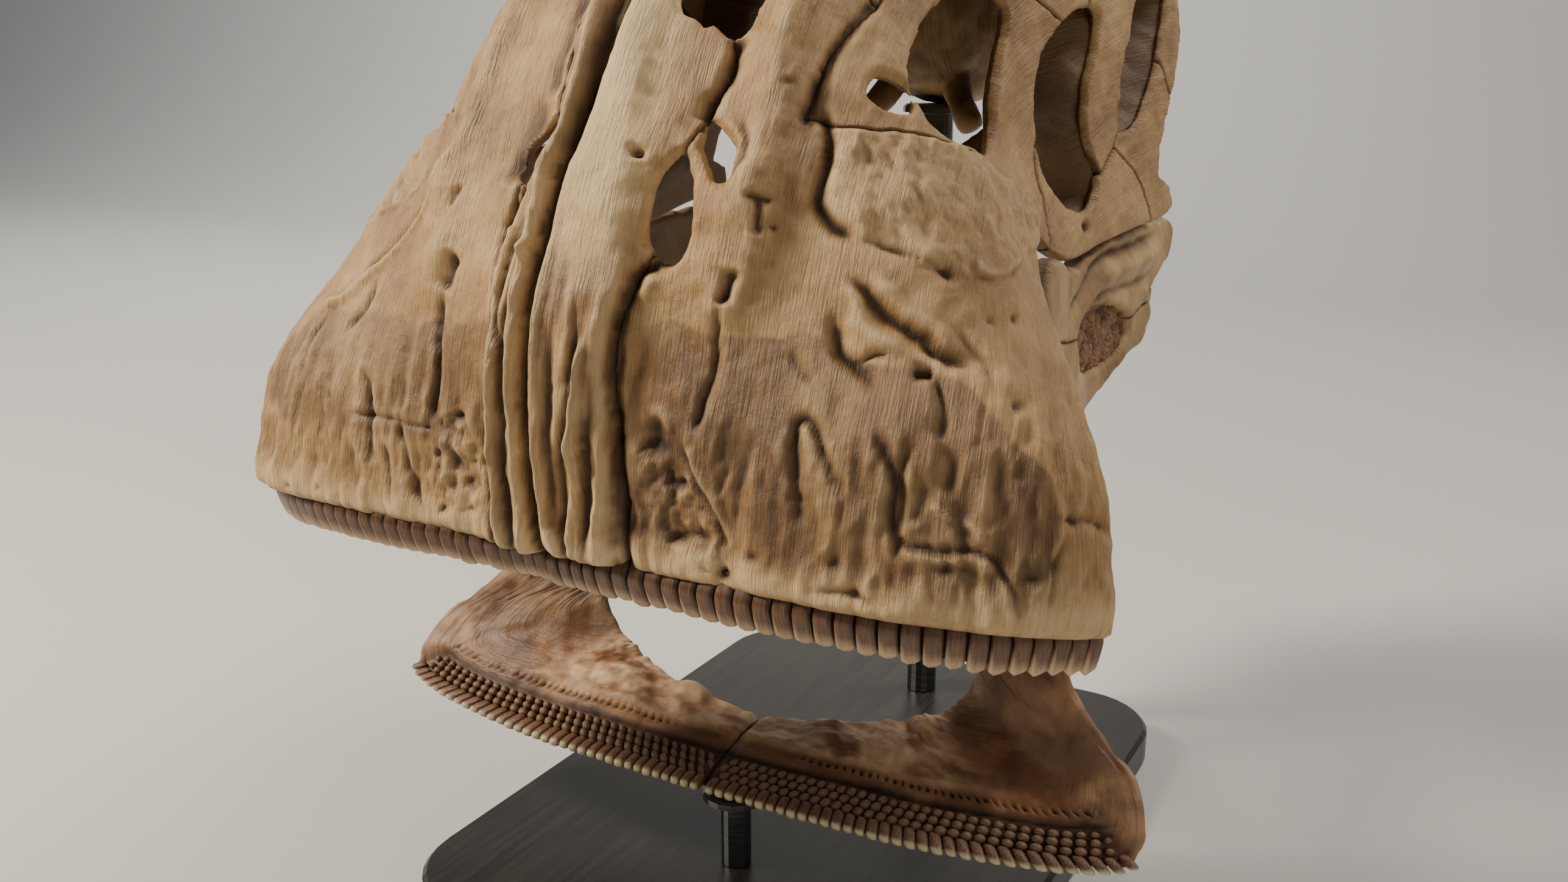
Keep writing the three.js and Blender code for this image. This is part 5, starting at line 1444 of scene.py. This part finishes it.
# The plate cut in two along its seam: each part's outline stops at the seam's height
def makeJawSides():
    plate = makeJawPlate()
    outline = smoothPath(jawPlate["outline"], 4, True)[:-1]
    seam = np.array(jawPlate["seam"], float)
    above = np.interp(outline[:, 0], seam[:, 0], seam[:, 1])
    top, bottom = outline.copy(), outline.copy()
    top[:, 1] = np.maximum(top[:, 1], above)
    bottom[:, 1] = np.minimum(bottom[:, 1], above)
    for side, mirrored in (("left", False), ("right", True)):
        for name, part in (("surangular", top), ("angular", bottom)):
            piece = shellPiece(f"{name}Bone_{side}", plate, part, skullBone, 0.8, 2.6, mirrored)
            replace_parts(piece, f"{name}_{side}")
        fillHole(plate, side, mirrored)


makeJawSides()

# Rods of the jaw joint and the palate; shape holds what rodParts takes
boneRods = {
    "articular": {
        "material": jawBone, "slot": "jaw_bone",
        "shape": {
            "knots": [(76, 222, 57, 3, 4), (76, 230, 60, 5, 8), (76, 244, 60, 6.3, 8),
                      (76, 257, 60, 5, 7), (76, 264, 58, 2.5, 3.5)],
            "rings": 60, "sides": 40, "power": 2.4, "rough": 0.8, "seed": 141,
        },
    },
    "quadrate": {
        "material": skullBone, "slot": "bone",
        "shape": {
            "knots": [(76, 244, 71.5, 6, 7), (76, 245, 78, 6.5, 8), (75, 247, 92, 4, 6.5),
                      (73.5, 251, 115, 3.5, 7), (70, 257, 136, 4.5, 7), (68, 261, 150, 5, 5)],
            "rings": 110, "sides": 44, "power": 2.4, "rough": 0.9, "seed": 143,
        },
    },
    "pterygoid": {
        "material": skullBone, "slot": "bone",
        "shape": {
            "knots": [(67, 243, 112, 1.8, 11), (50, 222, 103, 2, 12), (36, 190, 92, 2, 10),
                      (26, 150, 76, 2, 8), (18, 105, 60, 2.2, 6), (13, 66, 47, 2.4, 5),
                      (11, 38, 40, 2, 3)],
            "rings": 260, "sides": 40, "power": 2.0, "rough": 0.35, "seed": 147,
            "tones": (0.1, 0.5, 0.1, 0.0),
        },
    },
}
for side, mirrored in (("left", False), ("right", True)):
    for name, rod in boneRods.items():
        points, faces, tone, grain = rodParts(mirrored=mirrored, **rod["shape"])
        piece = meshPiece(f"{name}Bone_{side}", points, faces, rod["material"], tone, grain)
        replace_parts(piece, f"{name}_{side}")
print("rear of the lower jaw and palate made")

# Braincase: a swelling box, the neck joint's ball, two props and two side wings, fused into
# one skin by a remesh
braincase = {
    "box": [(0, 202, 140, 8, 12), (0, 214, 143, 17, 24), (0, 236, 146, 26, 34), (0, 258, 146, 31, 35),
            (0, 276, 143, 32, 33), (0, 286, 142, 28, 28)],
    "wing": [(20, 270, 152, 5, 16), (38, 277, 149, 5, 15), (54, 281, 144, 4.5, 13), (65, 282, 139, 4, 9)],
    "prop": [(10, 232, 124, 6, 6), (17, 222, 112, 5, 5), (25, 212, 104, 4, 4)],
    "ball": {"centre": (0, 287, 134), "radius": 11},
    "cord": {"height": 157, "radius": 9, "from": 268},
    "voxel": 1.15,
}


# After the remesh the cord's opening is pressed in along y, and noise roughens the skin along
# its normals
def makeBraincase():
    part = braincase
    parts = [rodParts(part["box"], 90, 60, 2.6)]
    for name in ("wing", "prop"):
        for mirrored in (False, True):
            parts.append(rodParts(part[name], 40, 30, 2.2, mirrored=mirrored))
    x, y, z = part["ball"]["centre"]
    r = part["ball"]["radius"]
    ball = [(x, y - r + 0.3, z, 0.6, 0.6), (x, y - 0.7 * r, z, 0.7 * r, 0.7 * r), (x, y, z, r, r),
            (x, y + 0.7 * r, z, 0.72 * r, 0.72 * r), (x, y + r, z, 0.5, 0.5)]
    parts.append(rodParts(ball, 40, 36, 2.0))
    points, faces, tone, grain = joinParts(parts)
    piece = meshPiece("braincaseBone", points, faces, skullBone, tone, grain)
    fuse = piece.modifiers.new("fuse", "REMESH")
    fuse.mode, fuse.voxel_size = "VOXEL", part["voxel"] * mm
    mesh = bpy.data.meshes.new_from_object(piece.evaluated_get(bpy.context.evaluated_depsgraph_get()))
    piece.modifiers.clear()
    piece.data = mesh
    count = len(mesh.vertices)
    points, normals = np.zeros(count * 3, np.float32), np.zeros(count * 3, np.float32)
    mesh.vertices.foreach_get("co", points)
    mesh.vertices.foreach_get("normal", normals)
    points, normals = points.reshape(-1, 3).astype(float) / mm - skullOrigin, normals.reshape(-1, 3)
    bumps = 0.9 * roughNoise(points, 14, 151) + 0.35 * roughNoise(points, 4, 153)
    cord = part["cord"]
    fromCord = np.hypot(points[:, 0], points[:, 2] - cord["height"]) / cord["radius"]
    pressed = softStep((1.15 - fromCord) / 0.25) * softStep((points[:, 1] - cord["from"] + 6) / 6)
    points = points + normals * (bumps * (1 - pressed))[:, None]
    points[:, 1] -= pressed * np.maximum(points[:, 1] - cord["from"], 0)
    mesh.vertices.foreach_set("co", ((points + skullOrigin) * mm).astype(np.float32).ravel())
    tone = np.zeros((count, 4))
    # Dark in the cord's pressed-in opening and in the low places of the skin: painted shade
    tone[:, 0] = np.clip(0.9 * pressed + np.clip(-0.6 * bumps, 0, 0.5), 0, 1)
    tone[:, 1] = 0.35 * softStep(0.4 + roughNoise(points, 18, 155))
    tone[:, 2] = 0.3
    setField(mesh, "tone", "FLOAT_COLOR", tone)
    setField(mesh, "grain", "FLOAT_VECTOR", points * np.array([1, 1, 0]) * mm)
    mesh.polygons.foreach_set("use_smooth", np.ones(len(mesh.polygons), bool))
    mesh.materials.clear()
    mesh.materials.append(skullBone)
    mesh.update()
    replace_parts(piece, "braincase")


makeBraincase()
print("braincase made")


# Stand: lacquered base and dark steel rods keep their shapes and get their finish here. gloss
# is a factor and a value to add; bump is strength and distance in metres.
standFinishes = {
    "blackLacquer": {
        "stretch": (90, 6, 90), "scale": 4, "detail": 5, "gloss": (0.15, 0.28), "metallic": 0.0,
        "colours": [(0.35, (0.012, 0.011, 0.010)), (0.7, (0.030, 0.027, 0.024))],
        "bump": (0.25, 0.0004),
    },
    "darkSteel": {
        "stretch": (40, 40, 1200), "scale": 3, "detail": 2, "gloss": (0.2, 0.22), "metallic": 1.0,
        "colours": [(0.3, (0.10, 0.10, 0.105)), (0.7, (0.20, 0.20, 0.21))],
        "bump": None,
    },
}


# Noise on the object's own coordinates, stretched along the piece, tints the finish and makes
# its gloss uneven
def makeFinish(name):
    finish = standFinishes[name]
    material, nodes, links, shader = newMaterial(name)
    place = nodes.new("ShaderNodeTexCoord")
    stretch = nodes.new("ShaderNodeMapping")
    stretch.inputs["Scale"].default_value = finish["stretch"]
    streaks = nodes.new("ShaderNodeTexNoise")
    streaks.inputs["Scale"].default_value = finish["scale"]
    streaks.inputs["Detail"].default_value = finish["detail"]
    links.new(place.outputs["Object"], stretch.inputs["Vector"])
    links.new(stretch.outputs["Vector"], streaks.inputs["Vector"])
    value = streaks.outputs["Fac"]
    links.new(ramp(nodes, links, value, finish["colours"]), shader.inputs["Base Color"])
    links.new(scaled(nodes, links, value, *finish["gloss"]), shader.inputs["Roughness"])
    shader.inputs["Metallic"].default_value = finish["metallic"]
    if finish["bump"]:
        roughen(nodes, links, shader, value, *finish["bump"])
    return material


lacquer, steel = makeFinish("blackLacquer"), makeFinish("darkSteel")
for node, material in (("stand_base", lacquer), ("stand_post", steel), ("stand_jaw_rod", steel)):
    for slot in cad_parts[node].material_slots:
        slot.material = material

studioFloor = {
    "colour": (0.62, 0.61, 0.59), "roughness": 0.9,
    "ahead": 4, "behind": 1.3, "radius": 1.0, "halfWidth": 4.0, "height": 3.5,  # metres
}


# Floor that sweeps up into a back wall, along a quarter circle
def makeFloor():
    material, _, _, shader = newMaterial("paleFloor")
    shader.inputs["Base Color"].default_value = (*studioFloor["colour"], 1)
    shader.inputs["Roughness"].default_value = studioFloor["roughness"]
    radius, behind, wide = (studioFloor[n] for n in ("radius", "behind", "halfWidth"))
    turn = np.linspace(0, np.pi / 2, 24)
    y = np.concatenate([[-studioFloor["ahead"]], behind + radius * np.sin(turn), [behind + radius]])
    z = np.concatenate([[0], radius * (1 - np.cos(turn)), [studioFloor["height"]]])
    points = np.array([(x, b, c) for b, c in zip(y, z) for x in (-wide, wide)])
    i = np.arange(len(y) - 1) * 2
    mesh = bpy.data.meshes.new("floor")
    mesh.from_pydata(points.tolist(), [], np.stack([i, i + 1, i + 3, i + 2], -1).tolist())
    mesh.polygons.foreach_set("use_smooth", np.ones(len(mesh.polygons), bool))
    mesh.materials.append(material)
    floor = bpy.data.objects.new("floor", mesh)
    bpy.context.collection.objects.link(floor)


# Soft boxes, as (place, point they are turned to, width, watts, colour), in metres
studioLights = {
    "key": ((-1.0, -0.62, 1.05), (0, 0, 0.22), 0.3, 33, (1.0, 0.91, 0.76)),
    "fill": ((1.25, -0.75, 0.7), (0, 0, 0.22), 0.7, 3.4, (1.0, 0.95, 0.88)),
    "top": ((0.55, 0.55, 1.3), (0, 0, 0.22), 0.5, 11, (1.0, 0.94, 0.85)),
    "backdrop": ((-1.2, 0.6, 1.6), (-1.9, 2.3, 0.9), 1.4, 34, (1.0, 0.98, 0.95)),
}
daylight = {"colour": (0.9, 0.93, 1.0), "strength": 0.12}


# The soft boxes, each turned to its point, and a weak even light from all round
def makeLights():
    for name, (place, target, size, watts, colour) in studioLights.items():
        data = bpy.data.lights.new(name, "AREA")
        data.size, data.energy, data.color = size, watts, colour
        light = bpy.data.objects.new(name, data)
        light.location = place
        light.rotation_mode = "QUATERNION"
        light.rotation_quaternion = (Vector(target) - Vector(place)).to_track_quat("-Z", "Y")
        bpy.context.collection.objects.link(light)
    world = bpy.data.worlds.new("studio")
    world.use_nodes = True
    background = world.node_tree.nodes["Background"]
    background.inputs["Color"].default_value = (*daylight["colour"], 1)
    background.inputs["Strength"].default_value = daylight["strength"]
    bpy.context.scene.world = world


makeFloor()
makeLights()
print("stand, floor and lights made")
